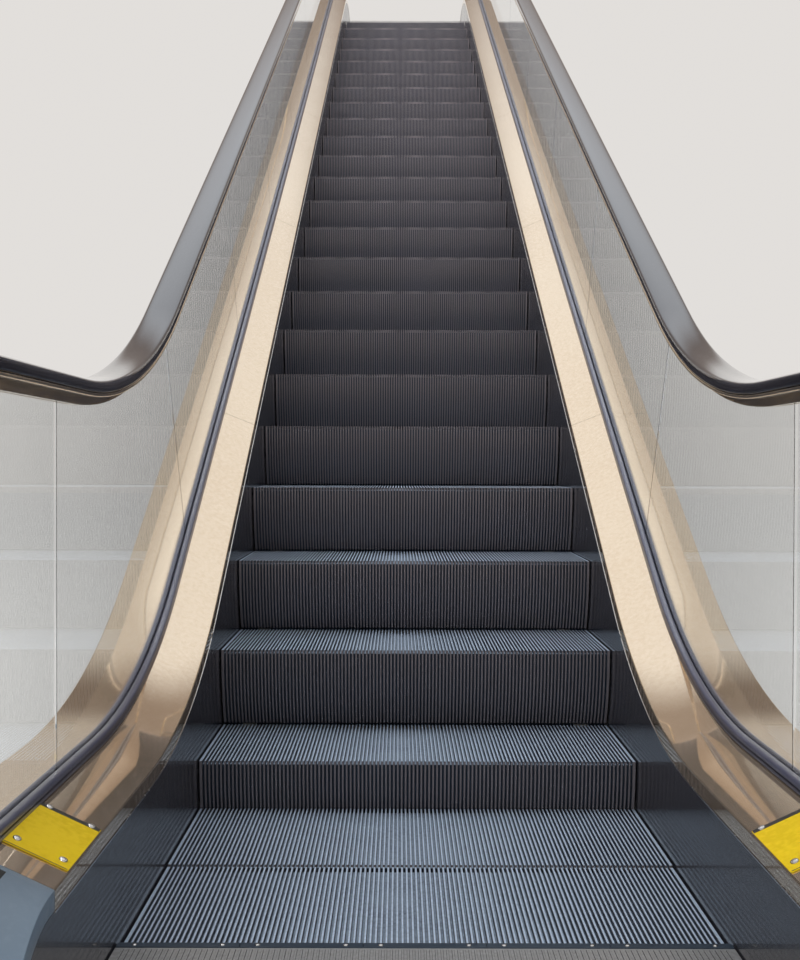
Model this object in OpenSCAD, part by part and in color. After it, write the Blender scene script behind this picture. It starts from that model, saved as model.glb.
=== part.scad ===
// Indoor escalator with glass balustrades, from its lower bearing up to the upper landing.
// X runs across the steps, Y runs the way the flight climbs, Z is up. Lengths are in millimetres.
// The origin is on the underside of the lower bearing bracket.

/* [Flight] */
// Height from one landing to the next
rise = 4650; // [3600:50:6000]
// Slope of the flight in degrees
slope = 30; // [28:1:32]
// Bend radius of the step path at the lower landing
low_radius = 1000; // [900:50:1600]
// Bend radius of the step path at the upper landing
up_radius = 1500; // [1200:50:2000]
// Level run of steps between the lower comb and the bend
low_flat = 333; // [300:1:800]
// Level run of steps between the bend and the upper comb
up_flat = 336; // [300:1:800]
// Length of the lower landing, from the end of the truss to the comb
low_landing = 1550; // [1450:10:2200]
// Length of the upper landing, from the comb to the end of the truss
up_landing = 1550; // [1450:10:2200]
// Height of the finished floor above the bearing ledge
ledge_depth = 300; // [295:1:360]
// Height of the finished floor above the treads
floor_lift = 16; // [12:1:20]

/* [Steps] */
// Width of a step
step_w = 1000; // [800:10:1100]
// Distance from one nosing to the next, along the path
step_pitch = 405; // [400:1:410]
// Running gap behind a tread
step_gap = 5; // [3:1:8]
// Distance of the first nosing past the lower comb
first_nosing = 10; // [0:5:200]
// Thickness of a tread with its cleats
tread_t = 24; // [20:1:30]
// Thickness of a riser with its cleats
riser_t = 16; // [14:1:20]
// Height of a cleat
cleat_h = 10; // [8:1:12]
// Distance from one cleat to the next
cleat_pitch = 40; // [34:1:60]
// Width of a cleat
cleat_w = 18; // [14:1:20]
// Sweep of a riser below its nosing, in degrees
riser_sweep = 31.5; // [30.5:0.5:33]
// Width of a bar of the step's side frame
frame_bar = 22; // [16:1:26]
// Thickness of the step's side frame
frame_t = 12; // [8:1:16]
// Inset of the side frame from the step's edge
frame_inset = 34; // [30:1:50]
// Chain axle behind the nosing
chain_axle_y = 345; // [330:1:350]
// Chain axle below the tread
chain_axle_drop = 95; // [90:1:100]
// Radius of the chain axle
chain_axle_r = 10; // [8:1:12]
// Radius of a chain roller
chain_roller_r = 38; // [34:1:40]
// Trailing roller behind the nosing
trail_roller_y = 95; // [85:1:110]
// Trailing roller below the tread
trail_roller_drop = 150; // [140:1:155]
// Radius of a trailing roller
trail_roller_r = 30; // [26:1:32]
// Radius of the trailing roller's stub axle
trail_axle_r = 8; // [6:1:10]
// Width of a roller
roller_w = 24; // [18:1:28]

/* [Tracks and truss] */
// Width of a track's running flange
rail_w = 36; // [30:1:40]
// Thickness of a track's running flange and web
rail_t = 8; // [6:1:10]
// Distance of the chain track's centre outside the step
chain_rail_out = 45; // [42:1:60]
// Distance of the trailing track's centre inside the step
trail_rail_in = 66; // [62:1:80]
// Underside of the tracks below the treads, at the landings
bearer_drop = 225; // [222:1:228]
// Underside of the tracks below the nosing line, square to it, on the slope
bearer_slope_drop = 345; // [330:1:380]
// Height of a cross member
cross_h = 50; // [40:1:55]
// Width of a cross member
cross_w = 60; // [50:1:70]
// Top of the truss below the deck line, square to it
truss_drop = 330; // [320:1:335]
// Thickness of a truss side
truss_t = 62; // [50:1:70]
// Depth of a truss chord
chord_h = 80; // [60:1:100]
// Width of a truss post or diagonal
brace_w = 64; // [60:1:80]
// Posts of a truss side on the slope
post_count = 8; // [6:1:10]
// Depth of the housing below the upper treads
up_depth = 1000; // [900:10:1200]
// Height of the housing below the nosings on the slope, plumb
slope_depth = 1050; // [950:10:1250]
// Thickness of a balustrade bracket
bracket_t = 10; // [8:1:12]
// Height of a balustrade bracket at the skirt
bracket_edge = 32; // [24:1:40]
// Balustrade brackets on the slope
bracket_count = 10; // [8:1:12]

/* [Balustrades] */
// Gap between a step and the skirt
skirt_gap = 3; // [2:0.5:4]
// Thickness of a skirt
skirt_t = 6; // [4:1:8]
// Deck line above the treads at the landings
deck_land = 270; // [260:1:290]
// Deck line above the nosings on the slope, plumb
deck_slope = 212; // [205:1:240]
// Bend radius of the decks at the lower landing
deck_low_radius = 1650; // [1300:50:1800]
// Bend radius of the decks at the upper landing
deck_up_radius = 1600; // [1300:50:1800]
// Width of the inner deck, from the skirt to the glass clamp
inner_deck_w = 97; // [85:1:110]
// Fall of the inner deck towards the steps
inner_deck_fall = 45; // [35:1:60]
// Height of the trim between the inner deck and the skirt
trim_h = 28; // [16:1:34]
// Thickness of the deck sheets
sheet_t = 3; // [2:0.5:4]
// Fold of a deck sheet along the glass clamp
deck_fold = 20; // [15:1:30]
// Fold of the outer deck over the cladding
outer_fold = 30; // [20:1:40]
// Width over the outer decks
overall_w = 1500; // [1480:5:1600]
// Thickness of the glass
glass_t = 10; // [8:1:12]
// Thickness of a wall of the glass clamp
clamp_wall = 8; // [6:1:10]
// Depth of the glass clamp below the deck line
clamp_depth = 98; // [90:1:110]
// Thickness of the floor of the glass clamp
clamp_floor = 10; // [8:1:14]
// Height of the sealing bead above the decks
bead_h = 20; // [14:1:26]
// Width of the sealing bead
bead_w = 11; // [10:1:12]
// Gap between two panes of glass
pane_gap = 3; // [2:0.5:5]
// Distance of the upright glass joints from the combs, on the side of the steps
newel_joint = 24; // [10:1:60]
// First joint of the glass on the slope, from the lower working point
pane_first = 880; // [800:10:1000]
// Panes of glass on the slope
pane_count = 6; // [5:1:8]
// First joint of the decks on the slope, from the lower working point
deck_joint_first = 1600; // [1200:10:1900]
// Lengths of deck between the joints on the slope
deck_count = 3; // [2:1:4]
// Distance from one deck joint to the next
deck_pitch = 1865; // [1500:5:1900]
// Gap at a deck joint
deck_gap = 1.5; // [1:0.5:3]

/* [Handrails] */
// Top of the handrail above the treads at the landings
hand_land = 945; // [900:5:1000]
// Top of the handrail above the nosings on the slope, plumb
hand_slope = 965; // [920:5:1000]
// Bend radius of the handrail at the lower landing
hand_low_radius = 1700; // [1600:50:2400]
// Bend radius of the handrail at the upper landing
hand_up_radius = 2000; // [1800:50:2400]
// Width of the handrail
hand_w = 80; // [76:1:86]
// Height of the handrail's section
hand_t = 25; // [24:1:28]
// Rubber above the guide
hand_skin = 8; // [7:1:10]
// Rubber at the lips
hand_lip = 8; // [7:1:9]
// Overlap of a lip over the guide
hand_lip_in = 9; // [7:1:11]
// Radius of the handrail's upper corners
hand_corner = 11; // [8:1:13]
// Depth of the handrail below the decks where it turns into its inlet
newel_sink = 45; // [40:1:50]
// Centre of the newel turn before the comb
newel_reach = 447; // [430:5:520]
// Straight end of the handrail inside its inlet
hand_tail = 45; // [30:5:50]
// Play between the guide and what it carries
guide_play = 0.3; // [0.2:0.1:0.5]
// Width of the guide where it grips the glass
guide_grip_w = 24; // [20:1:28]
// Depth of the glass in the guide
guide_grip = 16; // [12:1:20]
// Top edge of the glass below the top of the handrail
guide_drop = 31; // [30:1:36]
// Thickness of the guide's flange under the handrail
guide_flange_t = 7; // [5:1:9]
// Distance of the flange's edge inside the handrail's side
guide_flange_in = 3; // [2:1:6]
// Height of the rim along the guide's lower edge
guide_rim_t = 3; // [2:0.5:4]
// Projection of the rim along the guide's lower edge
guide_rim_out = 2; // [1:0.5:4]

/* [Landings] */
// End of the decks before the comb
deck_reach = 377; // [370:1:400]
// Level length of a newel end cap
cap_flat = 20; // [10:1:40]
// Radius of a newel end cap
cap_r = 250; // [240:1:256]
// Comb body in front of its teeth
comb_body = 37; // [30:1:60]
// Length of a comb tooth
tooth_l = 24; // [18:1:30]
// Depth of a comb tooth in the cleats
tooth_sink = 6; // [4:1:7]
// Side clearance of a comb tooth
tooth_side = 5; // [4:1:6]
// Thickness of the comb plate over the steps
comb_plate_t = 13; // [10:1:13]
// Thickness of the floor plates
floor_plate_t = 30; // [24:1:34]
// Gap round a floor plate
plate_gap = 3; // [2:0.5:5]
// Width of a bar of the floor frame
floor_bar = 60; // [50:1:70]
// Length of the caution plate along the deck
caution_l = 195; // [160:5:240]
// Margin of the deck beside the caution plate
caution_margin = 2; // [1:0.5:12]
// Thickness of the caution plate
caution_t = 2; // [1:0.5:3]
// Distance from the end of the deck to the caution plate
caution_from = 70; // [50:5:140]
// Length of a handrail inlet before the centre of the newel turn
inlet_l = 90; // [80:5:110]
// Wall of a handrail inlet
inlet_wall = 12; // [8:1:16]

/* [Cladding and bearings] */
// Thickness of the cladding and soffit sheets
clad_t = 3; // [2:0.5:5]
// Gap between two cladding panels
clad_gap = 4; // [3:1:8]
// Cladding panels on the slope
clad_count = 7; // [5:1:9]
// Thickness of an end plate
end_plate_t = 8; // [6:1:12]
// Depth of a bearing bracket on its ledge
bearing_l = 120; // [100:5:160]
// Thickness of a bearing bracket
bearing_t = 14; // [12:1:20]
// Width of a bearing bracket
bearing_w = 1300; // [1100:10:1360]

/* [Hidden] */

// Seat between two pieces that touch in the real machine
seat = 0.3;
// Lap of a straight length over the end of a bend, and how much slimmer a bend is all round
lap = 1;
lap_step = 0.05;
$slim = 0;
// Straight stretches that stand for a bend in a flat outline, and for a rounded corner
arc_steps = 16;
corner_steps = 6;
// Sides of a full turn of a large bend and of a small round
bend_fn = 360;
round_fn = 32;
// Reach of a cutting shape
big = 20000;
// Nodes that share the steps
step_nodes = 3;

// The path of the nosings
half = tan(slope / 2);
run = rise / tan(slope);
slope_len = rise / sin(slope);
tread_z = ledge_depth - floor_lift;
truss_y0 = bearing_l / 2;
comb_y0 = truss_y0 + low_landing;
arc_y = comb_y0 + low_flat;
wp_y = arc_y + low_radius * half;
comb_y1 = wp_y + run + up_radius * half + up_flat;
truss_y1 = comb_y1 + up_landing;

// A line of the side view: its height at the landings, its height over the nosings
// on the slope, and its two bend radii
path = [0, 0, low_radius, up_radius];
deck = [deck_land, deck_slope, deck_low_radius, deck_up_radius];
hand = [hand_land, hand_slope, hand_low_radius, hand_up_radius];

function above(l, n) = [l[0] + n, l[1] + n / cos(slope), l[2] - n, l[3] + n];
function moved(l, y, z) = [l[0] + z, l[1] + z - y * tan(slope), l[2], l[3]];
function low_kink(l) = [wp_y + (l[0] - l[1]) / tan(slope), l[0]];
function up_kink(l) = low_kink(l) + [run, rise];
function station(p) = (p[0] - wp_y) * cos(slope) + p[1] * sin(slope);
function low_station(l) = station(low_kink(l)) + l[2] * half;
function up_station(l) = station(up_kink(l)) - l[3] * half;
function on_slope(l, d) = low_kink(l) + (d - station(low_kink(l))) * [cos(slope), sin(slope)];
function low_bend_y(l) = low_kink(l)[0] - l[2] * half;
function up_bend_y(l) = up_kink(l)[0] + l[3] * half;
function low_arc(l) = [
    for (i = [0:arc_steps])
        let (f = slope * i / arc_steps)
            low_kink(l) + l[2] * [sin(f) - half, 1 - cos(f)]
];
function up_arc(l) = [
    for (i = [arc_steps:-1:0])
        let (f = slope * i / arc_steps)
            up_kink(l) + l[3] * [half - sin(f), cos(f) - 1]
];
function curve(l, y0, y1) = concat([[y0, l[0]]], low_arc(l), up_arc(l), [[y1, l[0] + rise]]);
function flipped(p) = [for (i = [len(p) - 1:-1:0]) p[i]];

// Lines and places that follow from the sizes
chain_line = moved(path, chain_axle_y, -chain_axle_drop);
trail_line = moved(path, trail_roller_y, -trail_roller_drop);
bearer_line = [
    -bearer_drop, -bearer_slope_drop / cos(slope), low_radius + bearer_drop, up_radius - bearer_drop
];
truss_line = above(deck, -truss_drop);
skirt_top = above(deck, -inner_deck_fall - trim_h - seat);
skirt_foot = above(chain_line, chain_axle_r + skirt_gap);
soffit_line = [-up_depth, -slope_depth, 0, 0];
skirt_x = step_w / 2 + skirt_gap;
clamp_x = skirt_x + inner_deck_w;
glass_x = clamp_x + bead_w + seat;
glass_mid = glass_x + glass_t / 2;
clamp_out = glass_x + glass_t + seat + clamp_wall;
side_x = overall_w / 2;
truss_out = side_x - clad_t - seat;
truss_in = truss_out - truss_t;
deck_y0 = comb_y0 - deck_reach;
deck_y1 = comb_y1 + deck_reach;
cap_l = cap_flat + cap_r;
cap_axis = [deck_y0 - cap_flat, deck_land - cap_r];
cap_edge_r = cap_r - inner_deck_fall - trim_h;
newel_y0 = comb_y0 - newel_reach;
newel_y1 = comb_y1 + newel_reach;
newel_r = (hand_land - deck_land + newel_sink) / 2;
newel_z = hand_land - newel_r;
glass_top = above(hand, -guide_drop);
glass_foot = above(deck, -clamp_depth + clamp_floor + seat);
newel_glass_r = newel_r - guide_drop;
pane_last = slope_len - pane_first;
pane_w = (pane_last - pane_first) / pane_count;
pane_y0 = comb_y0 + newel_joint;
pane_y1 = comb_y1 - newel_joint;
ground = -tread_z;
sill_y = wp_y + (ground + slope_depth) / tan(slope);
top_z = truss_line[0];
post_first = (sill_y - wp_y) / cos(slope);
post_pitch = (slope_len - post_first) / post_count;
tread_d = step_pitch - step_gap;

// Arc lengths of the nosing path, counted from the start of the lower bend
turn = PI / 180;
s_low = low_radius * slope * turn;
s_slope = s_low + up_station(path) - low_station(path);
s_up = s_slope + up_radius * slope * turn;
s_first = first_nosing - low_flat - step_pitch;
step_count = ceil((s_up + up_flat - s_first) / step_pitch);

function nosing(s) =
    s < 0 ? [arc_y + s, 0]
    : s < s_low ? [arc_y, low_radius] + low_radius * [sin(s / low_radius / turn), -cos(s / low_radius / turn)]
    : s < s_slope ? on_slope(path, low_station(path) + s - s_low)
    : s < s_up ? [up_bend_y(path), rise - up_radius]
        + up_radius * [-sin((s_up - s) / up_radius / turn), cos((s_up - s) / up_radius / turn)]
    : [up_bend_y(path) + s - s_up, rise];
flight_steps = ceil(step_count / step_nodes);

// Helpers

module raised() {
    translate([0, 0, tread_z]) children();
}

module right_side(side) {
    if (side > 0) raised() children();
    else mirror([1, 0, 0]) raised() children();
}

// A flat plate: its outline is drawn as [y, z] and it is t thick from x
module plate(x, t) {
    translate([x, 0, 0]) rotate([90, 0, 90]) linear_extrude(t) children();
}

// A quarter round of radius r about c, from the angle a
function corner(c, r, a) = [
    for (i = [0:corner_steps]) let (f = a + 90 * i / corner_steps) c + r * [cos(f), sin(f)]
];

module bar(p, q, w) {
    v = q - p;
    translate(p) rotate(atan2(v[1], v[0])) translate([0, -w / 2]) square([norm(v), w]);
}

module between(top, foot, y0, y1) {
    polygon(concat(curve(top, y0, y1), flipped(curve(foot, y0, y1))));
}

// Places what is drawn for the lower landing at the upper one
module at_upper_landing() {
    translate([0, comb_y0 + comb_y1, rise]) mirror([0, 1, 0]) children();
}

// The part of the side view between two stations of the slope
module stretch(d0, d1) {
    translate([wp_y, 0]) rotate(slope) translate([d0, -big]) square([d1 - d0, 2 * big]);
}

// Sweeps of a section drawn as [x, height square to the line]

module level_run(y0, y1, z) {
    translate([0, y1, z]) rotate([90, 0, 0]) linear_extrude(y1 - y0) children();
}

module low_bend(l) {
    translate([0, low_bend_y(l), l[0] + l[2]]) rotate([0, 90, 0])
        rotate_extrude(angle = slope, $fn = bend_fn) translate([l[2], 0]) rotate(90) children();
}

module slope_run(l, d0, d1) {
    p = on_slope(l, d1);
    translate([0, p[0], p[1]]) rotate([90 + slope, 0, 0]) linear_extrude(d1 - d0) children();
}

module up_bend(l) {
    translate([0, up_bend_y(l), rise + l[0] - l[3]]) rotate([0, -90, 0])
        rotate_extrude(angle = slope, start = -slope, $fn = bend_fn)
            translate([l[3], 0]) rotate(-90) children();
}

// Bends are a little slimmer than the straight lengths that lap over their ends
module slimmer() {
    $slim = lap_step;
    children();
}

module low_end(l, y0) {
    level_run(y0, low_bend_y(l) + lap, l[0]) children();
    slimmer() low_bend(l) children();
}

module up_end(l, y1) {
    slimmer() up_bend(l) children();
    level_run(up_bend_y(l) - lap, y1, l[0] + rise) children();
}

module low_part(l, y0, d) {
    low_end(l, y0) children();
    slope_run(l, low_station(l) - lap, d) children();
}

module up_part(l, d, y1) {
    slope_run(l, d, up_station(l) + lap) children();
    up_end(l, y1) children();
}

module whole_run(l, y0, y1) {
    low_end(l, y0) children();
    slope_run(l, low_station(l) - lap, up_station(l) + lap) children();
    up_end(l, y1) children();
}

// Turns of a section about [y, z] at radius r, from its top through the angle a: back
// towards the lower end, or on towards the upper end
module turn_back(c, r, a) {
    translate([0, c[0], c[1]]) rotate([0, -90, 180]) rotate_extrude(angle = a, $fn = bend_fn)
        translate([r, 0]) mirror([0, 1]) rotate(-90) children();
}

module turn_on(c, r, a) {
    translate([0, c[0], c[1]]) rotate([0, -90, 0]) rotate_extrude(angle = a, $fn = bend_fn)
        translate([r, 0]) rotate(-90) children();
}

// A run along the whole handrail, round both newels, with a straight tail at each end
module hand_run(tail) {
    whole_run(hand, newel_y0 - lap, newel_y1 + lap) children();
    slimmer() turn_back([newel_y0, newel_z], newel_r, 180) children();
    slimmer() turn_on([newel_y1, newel_z + rise], newel_r, 180) children();
    if (tail > 0) {
        level_run(newel_y0 - lap, newel_y0 + tail, newel_z - newel_r) mirror([0, 1]) children();
        level_run(newel_y1 - tail, newel_y1 + lap, newel_z - newel_r + rise) mirror([0, 1]) children();
    }
}

// Steps

cleat_count = floor((step_w - cleat_w) / cleat_pitch) + 1;
cleat_x0 = -((cleat_count - 1) * cleat_pitch + cleat_w) / 2;

// A cleated section: the cleats' tips are at height 0 and the back is at -t
module cleated(t) {
    polygon(concat(
        [[-step_w / 2, -t], [-step_w / 2, -cleat_h]],
        [for (i = [0:cleat_count - 1], c = [0:3])
            [cleat_x0 + i * cleat_pitch + (c < 2 ? 0 : cleat_w), c == 0 || c == 3 ? -cleat_h : 0]],
        [[step_w / 2, -cleat_h], [step_w / 2, -t]]
    ));
}

module roller(x, y, z, r) {
    translate([x - roller_w / 2, y, z]) rotate([0, 90, 0]) cylinder(h = roller_w, r = r, $fn = round_fn);
}

module step_frame() {
    axle = [chain_axle_y, -chain_axle_drop];
    trail = [trail_roller_y, -trail_roller_drop];
    bar([riser_t, -tread_t / 2], trail, frame_bar);
    bar(trail, axle, frame_bar);
    bar(axle, [tread_d - frame_bar, -tread_t / 2], frame_bar);
    translate(axle) circle(r = chain_axle_r + frame_bar / 2, $fn = round_fn);
    translate(trail) circle(r = trail_axle_r + frame_bar / 2, $fn = round_fn);
}

// One step, from its nosing: cleated tread, curved cleated riser, side frames, axle and rollers
module step() {
    frame_x = step_w / 2 - frame_inset;
    chain_x = step_w / 2 + chain_rail_out;
    trail_x = step_w / 2 - trail_rail_in;
    translate([0, tread_d, 0]) rotate([90, 0, 0]) linear_extrude(tread_d) cleated(tread_t);
    translate([0, tread_d, 0]) rotate([-90, 0, 0]) rotate([0, 90, 0])
        rotate_extrude(angle = riser_sweep, $fn = bend_fn)
            translate([tread_d, 0]) mirror([0, 1]) rotate(-90) cleated(riser_t);
    plate(frame_x, frame_t) step_frame();
    plate(-frame_x - frame_t, frame_t) step_frame();
    translate([-chain_x, chain_axle_y, -chain_axle_drop]) rotate([0, 90, 0])
        cylinder(h = 2 * chain_x, r = chain_axle_r, $fn = round_fn);
    for (side = [-1, 1]) {
        roller(side * chain_x, chain_axle_y, -chain_axle_drop, chain_roller_r);
        roller(side * trail_x, trail_roller_y, -trail_roller_drop, trail_roller_r);
        translate([side * (trail_x + frame_x) / 2, trail_roller_y, -trail_roller_drop]) rotate([0, 90, 0])
            cylinder(h = frame_x + frame_t - trail_x, r = trail_axle_r, center = true, $fn = round_fn);
    }
}

// One third of the steps: the first, the second or the last
module steps(third) {
    raised() for (k = [third * flight_steps:min((third + 1) * flight_steps, step_count) - 1]) {
        s = s_first + k * step_pitch;
        translate([0, nosing(s)[0], nosing(s)[1]]) step();
    }
}

module lower_steps() {
    color("dimgray") steps(0);
}

module middle_steps() {
    color("gray") steps(1);
}

module upper_steps() {
    color("dimgray") steps(2);
}

// Balustrades, drawn for the right side

// A quarter of the outline of a skirt's end, which follows the end cap about c down to the floor
function skirt_turn(c, r, way) = [
    for (i = [0:arc_steps - 1]) let (f = 90 * i / arc_steps) c + r * [way * cos(f), sin(f)]
];

module skirt() {
    r = cap_edge_r - seat;
    up_axis = [comb_y0 + comb_y1 - cap_axis[0], cap_axis[1] + rise];
    plate(skirt_x, skirt_t) polygon(concat(
        skirt_turn(cap_axis, r, -1), curve(skirt_top, cap_axis[0], up_axis[0]),
        flipped(skirt_turn(up_axis, r, 1)), flipped(curve(skirt_foot, cap_axis[0] - r, up_axis[0] + r))
    ));
}

// Every section is drawn slimmer all round by $slim

module inner_deck_section() {
    x0 = skirt_x + $slim;
    x1 = clamp_x + $slim;
    wall = sheet_t - 2 * $slim;
    fall = inner_deck_fall / inner_deck_w;
    rim = wall * norm([1, fall]);
    foot = -inner_deck_fall - trim_h + $slim;
    fold = -deck_fold + $slim;
    polygon([
        [x0, foot], [x0, -inner_deck_fall], [x1, -$slim], [x1 + wall, -$slim], [x1 + wall, fold],
        [x1, fold], [x1, -rim - $slim], [x0 + wall, wall * fall - inner_deck_fall - rim], [x0 + wall, foot]
    ]);
}

module outer_deck_section() {
    x0 = clamp_out + seat + $slim;
    x1 = side_x - $slim;
    wall = sheet_t - 2 * $slim;
    inner_foot = -deck_fold + $slim;
    outer_foot = -outer_fold + $slim;
    polygon([
        [x0, inner_foot], [x0, -$slim], [x1, -$slim], [x1, outer_foot], [x1 - wall, outer_foot],
        [x1 - wall, -wall - $slim], [x0 + wall, -wall - $slim], [x0 + wall, inner_foot]
    ]);
}

// A deck in lengths that meet at joints on the slope
module deck_lengths() {
    last = deck_joint_first + deck_count * deck_pitch;
    low_part(deck, deck_y0, deck_joint_first) children();
    for (i = [0:deck_count - 1])
        slope_run(deck, deck_joint_first + i * deck_pitch + deck_gap, deck_joint_first + (i + 1) * deck_pitch)
            children();
    up_part(deck, last + deck_gap, deck_y1) children();
}

module clamp_section() {
    x0 = clamp_x + sheet_t + seat + $slim;
    x1 = glass_x - seat - $slim;
    x2 = glass_x + glass_t + seat + $slim;
    x3 = clamp_out - $slim;
    foot = -clamp_depth + $slim;
    bed = -clamp_depth + clamp_floor - $slim;
    polygon([
        [x0, -$slim], [x0, foot], [x3, foot], [x3, -$slim], [x2, -$slim], [x2, bed], [x1, bed], [x1, -$slim]
    ]);
}

module bead_section() {
    r = bead_w / 2;
    polygon(concat(
        [[bead_w - $slim, seat + $slim]], corner([r, bead_h - r], r - $slim, 0),
        corner([r, bead_h - r], r - $slim, 90), [[$slim, seat + $slim]]
    ));
}

module glass_seals() {
    whole_run(deck, deck_y0, deck_y1) translate([clamp_x, 0]) bead_section();
    whole_run(deck, deck_y0, deck_y1) translate([glass_x + glass_t + seat, 0]) bead_section();
}

// The glass of one newel, as an outline in front of y, with its turn at [y, z]
module newel_pane(turn_y, z, foot_y, joint_y) {
    way = sign(turn_y - joint_y);
    top = z + newel_glass_r;
    foot = z - newel_z + glass_foot[0];
    rest_z = z - newel_z + deck_land + seat;
    intersection() {
        translate([turn_y, z]) circle(r = newel_glass_r, $fn = bend_fn);
        translate([way > 0 ? turn_y : turn_y - newel_glass_r, z - newel_glass_r])
            square([newel_glass_r, 2 * newel_glass_r]);
    }
    translate([min(turn_y, joint_y), rest_z]) square([abs(turn_y - joint_y), top - rest_z]);
    translate([min(foot_y, joint_y), foot]) square([abs(foot_y - joint_y), top - foot]);
}

module glass() {
    plate(glass_x, glass_t) {
        newel_pane(newel_y0, newel_z, deck_y0, pane_y0);
        intersection() {
            between(glass_top, glass_foot, pane_y0 + pane_gap, pane_y1);
            stretch(-big, pane_first);
        }
        for (i = [0:pane_count - 1]) intersection() {
            between(glass_top, glass_foot, pane_y0, pane_y1);
            stretch(pane_first + i * pane_w + pane_gap, pane_first + (i + 1) * pane_w);
        }
        intersection() {
            between(glass_top, glass_foot, pane_y0, pane_y1 - pane_gap);
            stretch(pane_last + pane_gap, big);
        }
        newel_pane(newel_y1, newel_z + rise, deck_y1, pane_y1);
    }
}

// Handrails

// The outside of the handrail's section, with a clearance round it
function hand_outline(grow) =
    let (x = hand_w / 2 - hand_corner, y = -hand_corner, r = hand_corner + grow)
        concat(
            [[glass_mid + x + r, -hand_t - grow]], corner([glass_mid + x, y], r, 0),
            corner([glass_mid - x, y], r, 90), [[glass_mid - x - r, -hand_t - grow]]
        );

guide_head_w = hand_w - 2 * hand_lip;
guide_neck_w = guide_head_w - 2 * hand_lip_in;
guide_head_t = hand_t - hand_skin - hand_lip;

module hand_section() {
    head = guide_head_w / 2 + $slim;
    neck = guide_neck_w / 2 + $slim;
    lip = -hand_t + hand_lip - $slim;
    skin = -hand_skin + $slim;
    foot = -hand_t + $slim;
    polygon(concat(hand_outline(-$slim), [
        [glass_mid - neck, foot], [glass_mid - neck, lip], [glass_mid - head, lip], [glass_mid - head, skin],
        [glass_mid + head, skin], [glass_mid + head, lip], [glass_mid + neck, lip], [glass_mid + neck, foot]
    ]));
}

module guide_section() {
    head = guide_head_w / 2 - guide_play - $slim;
    neck = guide_neck_w / 2 - guide_play - $slim;
    grip = guide_grip_w / 2 - $slim;
    slot = glass_t / 2 + seat + $slim;
    top = -hand_skin - guide_play - $slim;
    ledge = top - guide_head_t + 2 * (guide_play + $slim);
    under = -hand_t - guide_play + $slim;
    foot = -guide_drop - guide_grip + $slim;
    roof = -guide_drop + seat + $slim;
    flange = hand_w / 2 - guide_flange_in - $slim;
    flange_foot = -hand_t - guide_play - guide_flange_t + $slim;
    rim = guide_grip_w / 2 + guide_rim_out - $slim;
    rim_top = -guide_drop - guide_grip + guide_rim_t - $slim;
    right = [
        [slot, roof], [slot, foot], [rim, foot], [rim, rim_top], [grip, rim_top],
        [grip, flange_foot], [flange, flange_foot], [flange, under],
        [neck, under], [neck, ledge], [head, ledge], [head, top]
    ];
    left = [for (p = flipped(right)) [-p[0], p[1]]];
    translate([glass_mid, 0]) polygon(concat(right, left));
}

// Newel end caps and handrail inlets, drawn for the right side of the lower landing

// The cap's section: the deck's outline, filled down to the height of the cap's axis
module cap_section() {
    x0 = skirt_x + skirt_t + seat;
    polygon([
        [skirt_x, cap_edge_r - cap_r], [skirt_x, -inner_deck_fall], [clamp_x, 0], [side_x, 0],
        [side_x, -cap_r], [x0, -cap_r], [x0, cap_edge_r - cap_r]
    ]);
}

// A level length, a quarter turn down to the axis and a base on the floor frame
module cap_form() {
    level_run(cap_axis[0], deck_y0, deck_land) cap_section();
    turn_back(cap_axis, cap_r, 90) cap_section();
    translate([0, cap_axis[0], top_z + seat]) linear_extrude(cap_axis[1] - top_z - seat) {
        mirror([0, 1]) translate([0, cap_r]) cap_section();
        translate([skirt_x + skirt_t + seat, 0]) square([side_x - skirt_x - skirt_t - seat, cap_flat]);
    }
}

// The space round the end of the handrail that its inlet fills
module inlet_space(play) {
    margin = inlet_wall + play;
    level_run(newel_y0 - inlet_l - play, newel_y0 + hand_tail + margin, newel_z - newel_r)
        translate([glass_mid - hand_w / 2 - margin, -margin]) square([hand_w + 2 * margin, newel_r]);
}

// The way of the handrail, its guide and the glass through the inlet
module inlet_way() {
    r = newel_r + seat;
    plate(glass_mid - hand_w / 2 - seat, hand_w + 2 * seat) {
        intersection() {
            translate([newel_y0, newel_z]) circle(r = r, $fn = bend_fn);
            translate([newel_y0 - r, newel_z - r]) square(r);
        }
        translate([newel_y0, newel_z - r]) square([hand_tail + seat, hand_t + 2 * seat]);
    }
}

module end_cap() {
    difference() {
        cap_form();
        inlet_space(seat);
    }
}

module inlet() {
    difference() {
        intersection() {
            cap_form();
            inlet_space(0);
        }
        inlet_way();
    }
}

module handrail_inlets() {
    color("darkslategray") for (side = [-1, 1]) right_side(side) {
        inlet();
        at_upper_landing() inlet();
    }
}

// Combs and floor plates, drawn for the lower landing with y counted from the comb line

tooth_count = cleat_count - 1;

module comb() {
    groove = cleat_pitch - cleat_w;
    plate(-step_w / 2, step_w) polygon([
        [0, seat], [-comb_body, seat], [-comb_body, floor_lift], [-comb_body / 2, floor_lift], [0, tooth_sink]
    ]);
    for (i = [0:tooth_count - 1])
        plate(cleat_x0 + i * cleat_pitch + cleat_w + tooth_side, groove - 2 * tooth_side) polygon([
            [-comb_body / 2, seat], [-comb_body / 2, floor_lift - sheet_t], [0, tooth_sink],
            [tooth_l, -tooth_sink], [tooth_l / 2, -tooth_sink], [0, seat]
        ]);
}

module comb_plate() {
    plate(-step_w / 2, step_w) polygon([
        [-comb_body - seat, floor_lift - comb_plate_t], [-comb_body - seat, floor_lift],
        [-deck_reach - cap_l, floor_lift], [-deck_reach - cap_l, floor_lift - floor_plate_t],
        [-step_pitch - step_gap - comb_body, floor_lift - floor_plate_t],
        [-step_pitch - step_gap - comb_body, floor_lift - comb_plate_t]
    ]);
}

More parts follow.
